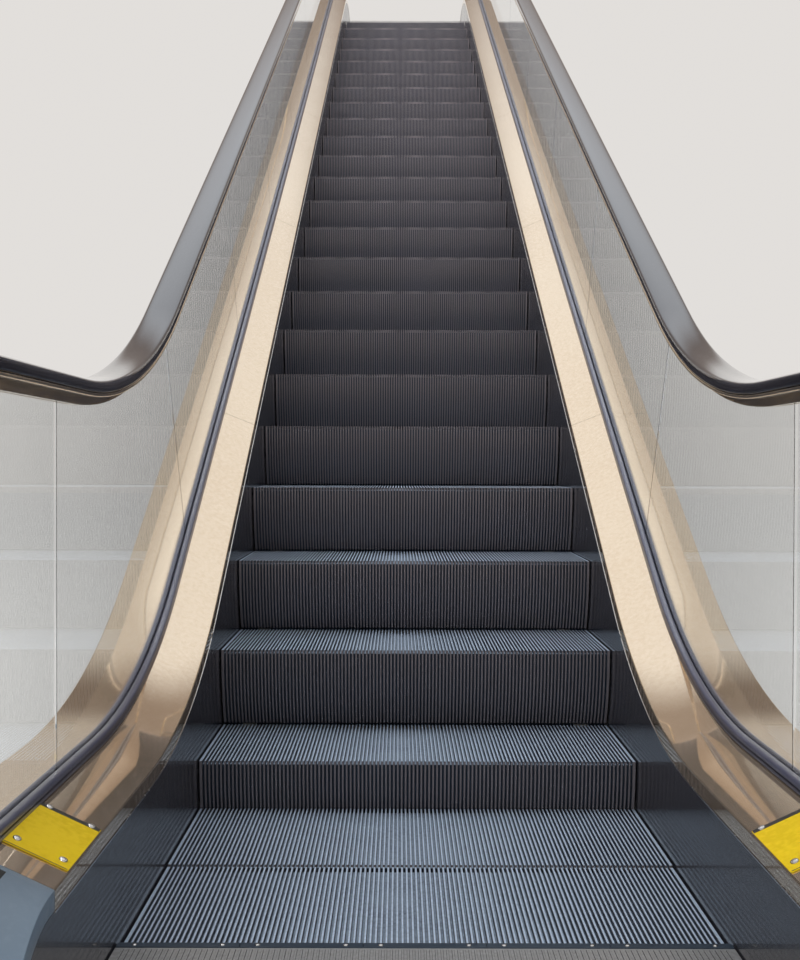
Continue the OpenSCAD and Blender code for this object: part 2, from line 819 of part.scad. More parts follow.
// A ring under the floor plate, with a tongue under the end of the comb plate
module floor_frame(landing) {
    depth = landing - deck_reach - cap_l - plate_gap;
    height = floor_lift - floor_plate_t - seat - top_z;
    translate([-truss_out, -landing, top_z])
        difference() {
            cube([2 * truss_out, depth, height]);
            translate([floor_bar, floor_bar, -seat])
                cube([2 * (truss_out - floor_bar), depth - 2 * floor_bar, 2 * height]);
        }
    translate([-step_w / 2, depth - landing - floor_bar / 2, top_z]) cube([step_w, floor_bar, height]);
}

module floor_plate(landing) {
    translate([-truss_out, -landing, floor_lift - floor_plate_t])
        cube([2 * truss_out, landing - deck_reach - cap_l - plate_gap, floor_plate_t]);
}

// Places what is drawn for a comb line at the lower or the upper comb
module at_low_comb() {
    translate([0, comb_y0, tread_z]) children();
}

module at_up_comb() {
    translate([0, comb_y1, tread_z + rise]) mirror([0, 1, 0]) children();
}

// Caution plates on the sloping inner decks of the lower landing
module caution_plate() {
    across = norm([inner_deck_w, inner_deck_fall]) - 2 * caution_margin;
    level_run(deck_y0 + caution_from, deck_y0 + caution_from + caution_l, deck_land)
        translate([skirt_x, -inner_deck_fall]) rotate(atan2(inner_deck_fall, inner_deck_w))
            translate([caution_margin, seat]) square([across, caution_t]);
}

// Truss, tracks and housing

// The truss side's outline, each edge moved inwards by n
module truss_outline(n) {
    top = above(truss_line, -n);
    foot = above(soffit_line, clad_t + seat + n);
    foot_y = low_kink(foot)[0] + (ground + n - foot[0]) / tan(slope);
    polygon(concat(
        curve(top, truss_y0 + n, truss_y1 - n),
        [[truss_y1 - n, foot[0] + rise], up_kink(foot), [foot_y, ground + n], [truss_y0 + n, ground + n]]
    ));
}

// Places of the posts: [top, foot] of each
low_posts = [for (y = [deck_y0, arc_y]) [[y, top_z], [y, ground]]];
slope_posts = [
    for (i = [0:post_count])
        let (d = post_first + i * post_pitch)
            [on_slope(truss_line, d), on_slope(soffit_line, d)]
];
up_posts = [for (y = [deck_y1]) [[y, rise + top_z], [y, rise - up_depth]]];
posts = concat(low_posts, slope_posts, up_posts);

module bracket_section() {
    x0 = skirt_x + skirt_t + seat;
    foot = -truss_drop - seat;
    under = -clamp_depth - seat;
    polygon([
        [x0, under - bracket_edge], [x0, under], [truss_out, under],
        [truss_out, foot], [truss_in, foot], [truss_in, under - truss_t]
    ]);
}

bracket_first = station(low_kink(deck)) + deck_low_radius * half + bracket_t;
bracket_last = station(up_kink(deck)) - deck_up_radius * half - bracket_t;
bracket_pitch = (bracket_last - bracket_first - bracket_t) / (bracket_count - 1);

module brackets() {
    for (y = [deck_y0 + floor_bar, pane_y0]) level_run(y, y + bracket_t, deck[0]) bracket_section();
    for (i = [0:bracket_count - 1])
        slope_run(deck, bracket_first + i * bracket_pitch, bracket_first + i * bracket_pitch + bracket_t)
            bracket_section();
    for (y = [pane_y1, deck_y1 - floor_bar]) level_run(y - bracket_t, y, deck[0] + rise) bracket_section();
}

module truss_side() {
    plate(truss_in, truss_t) {
        difference() {
            truss_outline(0);
            truss_outline(chord_h);
        }
        intersection() {
            truss_outline(0);
            union() {
                for (p = posts) bar(p[0], p[1], brace_w);
                for (i = [0:len(slope_posts) - 2]) bar(slope_posts[i][1], slope_posts[i + 1][0], brace_w);
            }
        }
    }
    brackets();
}

module cross_tube(l, d) {
    slope_run(l, d - cross_w / 2, d + cross_w / 2)
        translate([-truss_in, -cross_h]) square([2 * truss_in, cross_h]);
}

module truss_cross_members() {
    color("slategray") raised() {
        for (i = [0:post_count - 1]) cross_tube(bearer_line, post_first + i * post_pitch);
        for (i = [1:post_count])
            cross_tube(above(soffit_line, cross_h + clad_t + seat), post_first + i * post_pitch);
        for (p = low_posts) level_run(p[0][0] - cross_w / 2, p[0][0] + cross_w / 2, -bearer_drop)
            translate([-truss_in, -cross_h]) square([2 * truss_in, cross_h]);
        for (p = up_posts) level_run(p[0][0] - cross_w / 2, p[0][0] + cross_w / 2, rise - bearer_drop)
            translate([-truss_in, -cross_h]) square([2 * truss_in, cross_h]);
    }
}

// One track: a running flange under the rollers and a web down to the cross members
module track(l, x, r) {
    running = above(l, -r - seat);
    y0 = deck_y0 - floor_bar;
    y1 = deck_y1 + floor_bar;
    plate(x - rail_w / 2, rail_w) between(running, above(running, -rail_t), y0, y1);
    plate(x - rail_t / 2, rail_t) between(running, bearer_line, y0, y1);
}

module tracks() {
    track(chain_line, step_w / 2 + chain_rail_out, chain_roller_r);
    track(trail_line, step_w / 2 - trail_rail_in, trail_roller_r);
}

// Side cladding in panels, from the outer deck's fold to the soffit and the ground
module clad_outline() {
    top = above(deck, -outer_fold - seat);
    polygon(concat(
        curve(top, deck_y0, deck_y1),
        [
            [deck_y1, rise + top_z], [truss_y1, rise + top_z], [truss_y1, rise - up_depth],
            up_kink(soffit_line), [sill_y, ground], [truss_y0, ground], [truss_y0, top_z], [deck_y0, top_z]
        ]
    ));
}

clad_pitch = (slope_len - post_first) / clad_count;

module cladding() {
    plate(side_x - clad_t, clad_t) {
        intersection() {
            clad_outline();
            stretch(-big, post_first);
        }
        for (i = [0:clad_count - 1]) intersection() {
            clad_outline();
            stretch(post_first + i * clad_pitch + clad_gap, post_first + (i + 1) * clad_pitch);
        }
        intersection() {
            clad_outline();
            stretch(slope_len + clad_gap, big);
        }
    }
}

// Soffit in panels, closing the housing from below
module soffit() {
    inner = above(soffit_line, clad_t);
    outline = [
        [sill_y, ground], up_kink(soffit_line), [truss_y1, rise - up_depth],
        [truss_y1, rise - up_depth + clad_t], up_kink(inner),
        [low_kink(inner)[0] + (ground - inner[0]) / tan(slope), ground]
    ];
    color("lightsteelblue") raised() plate(clad_t + seat - side_x, 2 * (side_x - clad_t - seat)) {
        for (i = [0:clad_count - 1]) intersection() {
            polygon(outline);
            d = post_first + i * clad_pitch;
            stretch(i == 0 ? -big : d + clad_gap, d + clad_pitch);
        }
        intersection() {
            polygon(outline);
            stretch(slope_len + clad_gap, big);
        }
    }
}

module end_plate(y, z0, z1) {
    translate([-truss_in + seat, y, z0]) cube([2 * (truss_in - seat), end_plate_t, z1 - z0]);
}

// Bearing bracket, drawn for the lower end with its underside at z = 0
module bearing() {
    plate(-bearing_w / 2, bearing_w) polygon([
        [-bearing_l / 2, 0], [-bearing_l / 2, bearing_t], [bearing_l / 2 - bearing_t, bearing_t],
        [bearing_l / 2 - bearing_t, tread_z + top_z], [bearing_l / 2, tread_z + top_z], [bearing_l / 2, 0]
    ]);
}

lower_steps();
middle_steps();
upper_steps();
color("darkslategray") right_side(-1) skirt();  // left_skirt
color("darkslategray") right_side(1) skirt();  // right_skirt
color("tan") right_side(-1) deck_lengths() inner_deck_section();  // left_inner_deck
color("tan") right_side(1) deck_lengths() inner_deck_section();  // right_inner_deck
color("slategray") right_side(-1) glass_seals();  // left_glass_seals
color("slategray") right_side(1) glass_seals();  // right_glass_seals
color("silver") right_side(-1) whole_run(deck, deck_y0, deck_y1) clamp_section();  // left_glass_clamp
color("silver") right_side(1) whole_run(deck, deck_y0, deck_y1) clamp_section();  // right_glass_clamp
color("tan") right_side(-1) deck_lengths() outer_deck_section();  // left_outer_deck
color("tan") right_side(1) deck_lengths() outer_deck_section();  // right_outer_deck
color("lightblue", 0.4) right_side(-1) glass();  // left_glass
color("lightblue", 0.4) right_side(1) glass();  // right_glass
color("wheat") right_side(-1) hand_run(0) guide_section();  // left_handrail_guide
color("wheat") right_side(1) hand_run(0) guide_section();  // right_handrail_guide
color("black") right_side(-1) hand_run(hand_tail) hand_section();  // left_handrail
color("black") right_side(1) hand_run(hand_tail) hand_section();  // right_handrail
color("lightslategray") right_side(-1) end_cap();  // lower_left_end_cap
color("lightslategray") right_side(1) end_cap();  // lower_right_end_cap
color("lightslategray") right_side(-1) at_upper_landing() end_cap();  // upper_left_end_cap
color("lightslategray") right_side(1) at_upper_landing() end_cap();  // upper_right_end_cap
handrail_inlets();
color("gold") for (side = [-1, 1]) right_side(side) caution_plate();  // caution_plates
color("dimgray") at_low_comb() comb();  // lower_comb
color("dimgray") at_up_comb() comb();  // upper_comb
color("lightgray") at_low_comb() comb_plate();  // lower_comb_plate
color("lightgray") at_up_comb() comb_plate();  // upper_comb_plate
color("silver") at_low_comb() floor_plate(low_landing);  // lower_floor_plate
color("silver") at_up_comb() floor_plate(up_landing);  // upper_floor_plate
color("gray") at_low_comb() floor_frame(low_landing);  // lower_floor_frame
color("gray") at_up_comb() floor_frame(up_landing);  // upper_floor_frame
color("slategray") right_side(-1) truss_side();  // left_truss_side
color("slategray") right_side(1) truss_side();  // right_truss_side
truss_cross_members();
color("gray") right_side(-1) tracks();  // left_tracks
color("gray") right_side(1) tracks();  // right_tracks
color("rosybrown") right_side(-1) cladding();  // left_cladding
color("rosybrown") right_side(1) cladding();  // right_cladding
soffit();
color("slategray") raised() end_plate(truss_y0, ground, top_z);  // lower_end_plate
color("slategray") raised()  // upper_end_plate
        end_plate(truss_y1 - end_plate_t, rise - up_depth + clad_t + seat, rise + top_z);
color("slategray") bearing();  // lower_bearing
color("slategray") translate([0, truss_y1 + truss_y0, rise]) mirror([0, 1, 0]) bearing();  // upper_bearing
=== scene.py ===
import math

import bmesh
import bpy
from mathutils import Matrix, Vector


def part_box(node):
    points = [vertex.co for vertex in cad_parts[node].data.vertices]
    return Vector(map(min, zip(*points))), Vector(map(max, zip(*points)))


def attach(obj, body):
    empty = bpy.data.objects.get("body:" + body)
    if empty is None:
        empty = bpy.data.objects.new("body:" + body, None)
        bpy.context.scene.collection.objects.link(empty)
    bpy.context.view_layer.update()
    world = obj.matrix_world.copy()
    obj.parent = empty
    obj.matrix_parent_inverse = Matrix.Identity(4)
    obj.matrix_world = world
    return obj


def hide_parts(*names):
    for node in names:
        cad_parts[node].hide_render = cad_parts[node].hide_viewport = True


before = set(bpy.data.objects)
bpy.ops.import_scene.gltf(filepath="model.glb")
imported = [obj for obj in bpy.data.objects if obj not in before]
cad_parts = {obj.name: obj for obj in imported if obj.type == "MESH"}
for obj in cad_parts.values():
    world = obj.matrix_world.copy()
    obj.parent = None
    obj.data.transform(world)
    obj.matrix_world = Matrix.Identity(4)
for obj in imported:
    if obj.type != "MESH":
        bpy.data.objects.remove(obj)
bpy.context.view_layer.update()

# The escalator's main sizes, in metres: heights, slope and the bends of the steps' way
TREAD = 0.284
RISE = 4.65
SLOPE_ANGLE = 30
SLOPE = math.radians(SLOPE_ANGLE)
HALF = math.tan(SLOPE / 2)
LOW_BEND_R = 1.0
UP_BEND_R = 1.5

# Places along the flight: combs, ends of the decks and middles of the newels
COMB_LOW = 1.61
LOW_FLAT = 0.333
UP_FLAT = 0.336
BEND_LOW = COMB_LOW + LOW_FLAT
KINK = BEND_LOW + LOW_BEND_R * HALF
RUN = RISE / math.tan(SLOPE)
COMB_UP = KINK + RUN + UP_BEND_R * HALF + UP_FLAT
DECK_PAST_COMB = 0.377
DECK_LOW = COMB_LOW - DECK_PAST_COMB
DECK_UP = COMB_UP + DECK_PAST_COMB
NEWEL_PAST_COMB = 0.447
NEWEL_LOW = COMB_LOW - NEWEL_PAST_COMB
NEWEL_UP = COMB_UP + NEWEL_PAST_COMB
NEWEL_R = 0.36

# Places across it, from the middle plane
STEP_SIDE = 0.5
SKIRT = 0.503
CLAMP = 0.6
GLASS_MID = 0.6163
CLAMP_OUT = 0.6296
SIDE = 0.75

STEP_PITCH = 0.405
STEP_DEPTH = 0.4
STEP_COUNT = 28
CLEAT_PITCH = 0.009
CLEAT_COUNT = 109
CLEAT_HEIGHT = 0.0105
BAR_IN = 0.466
BAR_OUT = 0.478

# A line of the side view: height at the landings, height over the nosings on the slope, two bend radii
DECK_LINE = (0.27, 0.212, 1.65, 1.6)
HAND_LINE = (0.945, 0.965, 1.7, 2.0)
HAND_CROWN = 0.0045
NEWEL_Z = TREAD + HAND_LINE[0] - NEWEL_R
DECK_Z = TREAD + DECK_LINE[0]
DECK_FALL = 0.045
DECK_TRIM = 0.028
SHEET = 0.003
CAP_FLAT = 0.02
CAP_R = 0.25
CAP_END = DECK_PAST_COMB + CAP_FLAT + CAP_R

# How long a section is before it is run along its path, and how close points count as one
START = 0.002
CLOSE = 1e-5


def line_below(line, drop):
    """The line that runs that far below another, square to it."""
    level, over_nosings, low_bend, up_bend = line
    return level - drop, over_nosings - drop / math.cos(SLOPE), low_bend + drop, up_bend - drop


def kink(line):
    """Where the lower level and the slope of a line would meet."""
    return KINK + (line[0] - line[1]) / math.tan(SLOPE), TREAD + line[0]


def on_slope(line, station):
    """The point of a line's slope at that station, measured along the slope."""
    y, z = kink(line)
    first = (y - KINK) * math.cos(SLOPE) + (z - TREAD) * math.sin(SLOPE)
    return y + (station - first) * math.cos(SLOPE), z + (station - first) * math.sin(SLOPE)


# Modelling by hand


def clear():
    """Leaves edit mode and deselects everything."""
    if bpy.context.mode != "OBJECT":
        bpy.ops.object.mode_set(mode="OBJECT")
    bpy.ops.object.select_all(action="DESELECT")


def grab(*things):
    """Selects only these things; the first is the active one."""
    clear()
    for thing in things:
        thing.select_set(True)
    bpy.context.view_layer.objects.active = things[0]


def settle():
    """Puts a thing's place, turn and scale into its mesh."""
    bpy.ops.object.transform_apply(location=True, rotation=True, scale=True)
    return bpy.context.object


def block(name, low, high, turn=0.0):
    """A block between two corners, turned about the middle of its side view."""
    clear()
    middle = [(a + b) / 2 for a, b in zip(low, high)]
    bpy.ops.mesh.primitive_cube_add(size=1, location=middle, rotation=(turn, 0, 0))
    thing = bpy.context.object
    thing.name = name
    thing.scale = [b - a for a, b in zip(low, high)]
    return settle()


def rod(name, low_x, high_x, y, z, radius, sides=24):
    """A round bar that lies across."""
    clear()
    bpy.ops.mesh.primitive_cylinder_add(
        vertices=sides, radius=radius, depth=high_x - low_x,
        location=((low_x + high_x) / 2, y, z), rotation=(0, math.pi / 2, 0),
    )
    bpy.context.object.name = name
    return settle()


def edit(thing):
    """Takes a mesh in hand."""
    grab(thing)
    bpy.ops.object.mode_set(mode="EDIT")
    bpy.ops.mesh.select_mode(type="FACE")


def done():
    bpy.ops.object.mode_set(mode="OBJECT")


def pick_in(kind, pieces, test):
    """Selects the faces, edges or points of the mesh in hand that pass a test."""
    mesh = bpy.context.edit_object.data
    shape = bmesh.from_edit_mesh(mesh)
    bpy.ops.mesh.select_all(action="DESELECT")
    bpy.ops.mesh.select_mode(type=kind)
    for piece in getattr(shape, pieces):
        piece.select_set(bool(test(piece)))
    bmesh.update_edit_mesh(mesh)


def pick(test):
    """Selects faces by their middle and normal."""
    pick_in("FACE", "faces", lambda face: test(face.calc_center_median(), face.normal))


def pick_edges(test):
    """Selects edges by their two ends."""
    pick_in("EDGE", "edges", lambda edge: test(edge.verts[0].co, edge.verts[1].co))


def pick_points(test):
    pick_in("VERT", "verts", lambda point: test(point.co))


def pick_all():
    bpy.ops.mesh.select_all(action="SELECT")


def make_sound():
    """Merges doubled points of the mesh in hand and turns its faces outward."""
    pick_all()
    bpy.ops.mesh.remove_doubles(threshold=CLOSE)
    bpy.ops.mesh.normals_make_consistent(inside=False)


def shift(x=0.0, y=0.0, z=0.0):
    bpy.ops.transform.translate(value=(x, y, z))


def pull(x=0.0, y=0.0, z=0.0):
    """Extrudes what is picked along a straight line."""
    bpy.ops.mesh.extrude_region_move(TRANSFORM_OT_translate={"value": (x, y, z)})


def widen(x):
    """Extrudes what is picked sideways, in its own plane, to x times its width."""
    bpy.ops.mesh.extrude_region_move(TRANSFORM_OT_translate={"value": (0, 0, 0)})
    bpy.ops.transform.resize(value=(x, 1, 1))


def swing(y, z, degrees, steps):
    """Extrudes what is picked round an axis that lies across; up is positive."""
    bpy.ops.mesh.spin(steps=steps, angle=-math.radians(degrees), center=(0, y, z), axis=(1, 0, 0), dupli=False)


def slice_across(x=None, z=None):
    """Cuts new edges through the whole mesh in hand, at x or at z."""
    pick_all()
    if x is not None:
        bpy.ops.mesh.bisect(plane_co=(x, 0, 0), plane_no=(1, 0, 0))
    else:
        bpy.ops.mesh.bisect(plane_co=(0, 0, z), plane_no=(0, 0, 1))


def round_edges(test, radius, steps=2):
    """Rounds the edges that pass a test."""
    pick_edges(test)
    bpy.ops.mesh.bevel(offset=radius, segments=steps, affect="EDGES")


def along_y(a, b):
    """Does the edge between two points run along Y?"""
    return abs(a.x - b.x) < CLOSE and abs(a.z - b.z) < CLOSE


def near(value, target):
    return abs(value - target) < 2e-4


def both_near(a, b, z):
    """Does the edge between two points lie at that height?"""
    return near(a.z, z) and near(b.z, z)


def front():
    """Picks the front end of a section that is about to be run along its path."""
    pick(lambda c, n: n.y > 0.9)


def run_along(line, high_y, bend_steps=14):
    """Runs the picked end of a section along a line: level, bend, slope, bend and level."""
    y, z = kink(line)
    low_r, up_r = line[2:]
    low_y, up_y = y - low_r * HALF, y + RUN + up_r * HALF
    pull(y=low_y - front_place())
    swing(low_y, z + low_r, SLOPE_ANGLE, bend_steps)
    length = RISE / math.sin(SLOPE) - (low_r + up_r) * HALF
    pull(y=length * math.cos(SLOPE), z=length * math.sin(SLOPE))
    swing(up_y, z + RISE - up_r, -SLOPE_ANGLE, bend_steps)
    pull(y=high_y - up_y)


def front_place():
    """How far forward the picked faces are."""
    shape = bmesh.from_edit_mesh(bpy.context.edit_object.data)
    return max(face.calc_center_median().y for face in shape.faces if face.select)


def smooth(thing, degrees=35):
    """Shades a thing smooth, apart from edges sharper than that."""
    grab(thing)
    bpy.ops.object.shade_smooth_by_angle(angle=math.radians(degrees))
    return thing


def copy_of(thing, name=None):
    """A copy with its own mesh."""
    twin = thing.copy()
    twin.data = thing.data.copy()
    if name:
        twin.name = name
    bpy.context.collection.objects.link(twin)
    return twin


def moved(thing, x=0.0, y=0.0, z=0.0):
    grab(thing)
    thing.location = (x, y, z)
    return settle()


def joined(name, things):
    """Makes several things one piece."""
    grab(*things)
    if len(things) > 1:
        bpy.ops.object.join()
    bpy.context.object.name = name
    return bpy.context.object


def row_of(thing, count, x=0.0, y=0.0, z=0.0):
    """The same thing over and over in a straight row."""
    grab(thing)
    rows = thing.modifiers.new("row", "ARRAY")
    rows.use_relative_offset = False
    rows.use_constant_offset = True
    rows.constant_offset_displace = (x, y, z)
    rows.count = count
    bpy.ops.object.modifier_apply(modifier="row")
    return thing


def mirrored(thing, name, across_y=None):
    """The mirror image over the middle plane, or over a plane at across_y."""
    twin = copy_of(thing, name)
    grab(twin)
    if across_y is None:
        twin.scale = (-1, 1, 1)
    else:
        twin.scale = (1, -1, 1)
        twin.location = (0, 2 * across_y, 0)
    settle()
    edit(twin)
    pick_all()
    bpy.ops.mesh.normals_make_consistent(inside=False)
    done()
    return twin


def cut_between(thing, name, line, start, end):
    """The part of a run between two stations of its slope."""
    twin = copy_of(thing, name)
    edit(twin)
    for station, keep_front in ((start, True), (end, False)):
        if station is None:
            continue
        y, z = on_slope(line, station)
        pick_all()
        bpy.ops.mesh.bisect(
            plane_co=(0, y, z), plane_no=(0, math.cos(SLOPE), math.sin(SLOPE)),
            use_fill=True, clear_inner=keep_front, clear_outer=not keep_front,
        )
    done()
    return twin


# Materials


FLOAT = "NodeSocketFloat"
VECTOR = "NodeSocketVector"


def socket(tree, value, target):
    """Sets a socket to a value, or links another node's output to it."""
    if isinstance(value, bpy.types.NodeSocket):
        tree.links.new(value, target)
    else:
        target.default_value = value


def part(tree, kind, x=0, y=0, inputs=None, **settings):
    """Adds a node with its settings and inputs, each a value or another node's output."""
    made = tree.nodes.new(kind)
    made.location = (x, y)
    for key, value in settings.items():
        setattr(made, key, value)
    for key, value in (inputs or {}).items():
        socket(tree, value, made.inputs[key])
    return made


def maths(tree, operation, *values, x=0, y=0):
    """One step of arithmetic on values or outputs."""
    return part(tree, "ShaderNodeMath", x, y, dict(enumerate(values)), operation=operation).outputs[0]


def share(tree, value, low, high, x=0, y=0, way="LINEAR"):
    """0 where a value is at low, 1 where it is at high, and no more beyond."""
    inputs = {"Value": value, "From Min": low, "From Max": high}
    return part(tree, "ShaderNodeMapRange", x, y, inputs, clamp=True, interpolation_type=way).outputs[0]


def cloudy(tree, vector, scale, detail, x=0, y=0):
    """Soft random patches, from 0 to 1."""
    inputs = {"Vector": vector, "Scale": scale, "Detail": detail}
    return part(tree, "ShaderNodeTexNoise", x, y, inputs).outputs["Fac"]


def effect(name, inputs, outputs):
    """An empty node group with named inputs and outputs."""
    group = bpy.data.node_groups.new(name, "ShaderNodeTree")
    for label, kind, value in inputs:
        made = group.interface.new_socket(label, in_out="INPUT", socket_type=kind)
        if value is not None:
            made.default_value = value
    for label, kind in outputs:
        group.interface.new_socket(label, in_out="OUTPUT", socket_type=kind)
    begin = group.nodes.new("NodeGroupInput")
    begin.location = (-700, 0)
    end = group.nodes.new("NodeGroupOutput")
    end.location = (700, 0)
    return group, begin.outputs, end.inputs


def make_handling():
    """Smears and light dust: patches of rougher surface with fine specks between them."""
    group, ins, outs = effect(
        "handling marks",
        [("Vector", VECTOR, None), ("Patch Scale", FLOAT, 3.0), ("Clean", FLOAT, 0.2), ("Marked", FLOAT, 0.4)],
        [("Roughness", FLOAT), ("Mask", FLOAT)],
    )
    patches = cloudy(group, ins["Vector"], ins["Patch Scale"], 5.0, -450, 100)
    specks = cloudy(group, ins["Vector"], 90.0, 2.0, -450, -150)
    both = maths(group, "MULTIPLY", patches, specks, x=-200)
    mask = share(group, both, 0.18, 0.36)
    level = part(group, "ShaderNodeMix", 250, 0, {"Factor": mask, "A": ins["Clean"], "B": ins["Marked"]})
    group.links.new(level.outputs["Result"], outs["Roughness"])
    group.links.new(mask, outs["Mask"])
    return group


def make_grain():
    """Brushed lines that run along Y, as a height and a mask."""
    group, ins, outs = effect(
        "brushed grain", [("Vector", VECTOR, None), ("Fineness", FLOAT, 400.0)], [("Height", FLOAT), ("Mask", FLOAT)]
    )
    along = {0: ins["Vector"], 1: (1.0, 0.02, 1.0)}
    stretch = part(group, "ShaderNodeVectorMath", -450, 0, along, operation="MULTIPLY").outputs[0]
    lines = cloudy(group, stretch, ins["Fineness"], 3.0, -200)
    group.links.new(lines, outs["Height"])
    group.links.new(share(group, lines, 0.35, 0.65, 100), outs["Mask"])
    return group


def make_waviness():
    """The slow unevenness of thin sheet or moulded rubber, as a height."""
    group, ins, outs = effect(
        "sheet waviness",
        [("Vector", VECTOR, None), ("Broad", FLOAT, 2.0), ("Narrow", FLOAT, 9.0), ("Share", FLOAT, 0.25)],
        [("Height", FLOAT)],
    )
    broad = cloudy(group, ins["Vector"], ins["Broad"], 1.0, -450, 100)
    narrow = cloudy(group, ins["Vector"], ins["Narrow"], 1.0, -450, -150)
    both = part(group, "ShaderNodeMix", -100, 0, {"Factor": ins["Share"], "A": broad, "B": narrow})
    group.links.new(both.outputs["Result"], outs["Height"])
    return group


def make_facing():
    """Masks of the faces that look up and of those that look across."""
    group, _, outs = effect("facing", [], [("Up", FLOAT), ("Across", FLOAT)])
    normal = part(group, "ShaderNodeNewGeometry", -600, 0)
    split = part(group, "ShaderNodeSeparateXYZ", -400, 0, {"Vector": normal.outputs["Normal"]})
    sideways = maths(group, "ABSOLUTE", split.outputs["X"], x=-250, y=-150)
    group.links.new(share(group, split.outputs["Z"], 0.75, 0.95, -100, 100), outs["Up"])
    group.links.new(share(group, sideways, 0.7, 0.9, 0, -150), outs["Across"])
    return group


HANDLING = make_handling()
GRAIN = make_grain()
WAVINESS = make_waviness()
FACING = make_facing()


def use(tree, group, x, y, inputs=None):
    """Places a shared effect in a material and gives its outputs."""
    return part(tree, "ShaderNodeGroup", x, y, inputs, node_tree=group).outputs


def colour_mix(tree, mask, first, second, x=-400, y=300):
    """The colour between two, each a plain colour or another node's output."""
    made = part(tree, "ShaderNodeMix", x, y, data_type="RGBA")
    tree.links.new(mask, made.inputs["Factor"])
    for label, value in (("A", first), ("B", second)):
        target = [s for s in made.inputs if s.name == label and s.type == "RGBA"][0]
        socket(tree, (*value, 1) if isinstance(value, tuple) else value, target)
    return [s for s in made.outputs if s.type == "RGBA"][0]


def finish(name, **sockets):
    """A new material with these shader sockets. Gives the material, its node tree, shader and position."""
    material = bpy.data.materials.new(name)
    material.use_nodes = True
    tree = material.node_tree
    shader = tree.nodes["Principled BSDF"]
    for key, value in sockets.items():
        shader.inputs[key.replace("_", " ")].default_value = value
    place = part(tree, "ShaderNodeTexCoord", -1200, 0).outputs["Object"]
    return material, tree, shader, place


def smears(tree, place, scale, rough):
    """Handling marks: where they are, and the roughness from clean to marked."""
    inputs = {"Vector": place, "Patch Scale": scale, "Clean": rough[0], "Marked": rough[1]}
    marks = use(tree, HANDLING, -1000, 0, inputs)
    return marks["Mask"], marks["Roughness"]


def coloured(tree, shader, tone, roughness):
    tree.links.new(tone, shader.inputs["Base Color"])
    tree.links.new(roughness, shader.inputs["Roughness"])


def smeared_finish(name, clean, marked, rough, scale, **sockets):
    """A material that goes from a clean colour and roughness to those of its smears."""
    material, tree, shader, place = finish(name, **sockets)
    mask, roughness = smears(tree, place, scale, rough)
    coloured(tree, shader, colour_mix(tree, mask, clean, marked), roughness)
    return material, tree, shader, place


def bumped(tree, shader, height, strength, distance):
    sockets = {"Height": height, "Strength": strength, "Distance": distance}
    made = part(tree, "ShaderNodeBump", -250, -300, sockets)
    tree.links.new(made.outputs["Normal"], shader.inputs["Normal"])


def uneven(tree, shader, place, broad, narrow, mixed, strength, distance):
    """Bumps a surface with the slow waves of sheet or rubber."""
    inputs = {"Vector": place, "Broad": broad, "Narrow": narrow, "Share": mixed}
    bumped(tree, shader, use(tree, WAVINESS, -800, -300, inputs)["Height"], strength, distance)


def mirror_bronze():
    """Mirror-polished bronze sheet of the decks, faintly uneven, with wiped smears."""
    material, tree, shader, place = smeared_finish(
        "mirror_bronze", (0.88, 0.72, 0.54), (0.83, 0.66, 0.48), (0.03, 0.07), 1.2, Metallic=0.9
    )
    uneven(tree, shader, place, broad=0.9, narrow=2.6, mixed=0.2, strength=0.12, distance=0.02)
    return material


def satin_bronze():
    """Satin bronze sheet of the cladding, brushed along the flight."""
    material, tree, shader, place = finish("satin_bronze", Metallic=1.0)
    grain = use(tree, GRAIN, -800, -300, {"Vector": place, "Fineness": 500.0})
    _, roughness = smears(tree, place, 1.5, (0.30, 0.42))
    tone = colour_mix(tree, grain["Mask"], (0.60, 0.49, 0.37), (0.68, 0.56, 0.43))
    coloured(tree, shader, tone, roughness)
    bumped(tree, shader, grain["Height"], 0.12, 0.001)
    return material


def champagne():
    """Polished champagne-coloured guide under the handrail."""
    return smeared_finish(
        "champagne_metal", (0.90, 0.75, 0.56), (0.80, 0.66, 0.49), (0.12, 0.24), 6.0, Metallic=1.0
    )[0]


def black_handrail():
    """Glossy black handrail rubber with hand smears and faint mould waves."""
    material, tree, shader, place = smeared_finish(
        "black_handrail_rubber", (0.009, 0.009, 0.014), (0.018, 0.017, 0.022), (0.10, 0.20), 3.0,
        Coat_Weight=1.0, Coat_Roughness=0.02, Specular_IOR_Level=0.6,
    )
    uneven(tree, shader, place, broad=2.0, narrow=8.0, mixed=0.15, strength=0.06, distance=0.004)
    return material


def seal_rubber():
    """Dark blue-grey rubber bead along the foot of the glass."""
    return smeared_finish(
        "blue_grey_seal_rubber", (0.062, 0.066, 0.104), (0.090, 0.094, 0.134), (0.28, 0.42), 5.0,
        Coat_Weight=0.6, Coat_Roughness=0.15,
    )[0]


def clear_glass():
    """Clear toughened glass, greener at its polished edges."""
    sockets = {"Transmission_Weight": 1.0, "IOR": 1.5, "Roughness": 0.0}
    material, tree, shader, place = finish("clear_toughened_glass", **sockets)
    across = use(tree, FACING, -800, 300)["Across"]
    marked = use(tree, HANDLING, -800, 0, {"Vector": place, "Patch Scale": 2.5})["Mask"]
    face = colour_mix(tree, marked, (0.975, 0.99, 0.985), (0.955, 0.97, 0.965), -600, 100)
    tree.links.new(colour_mix(tree, across, (0.45, 0.68, 0.60), face), shader.inputs["Base Color"])
    return material


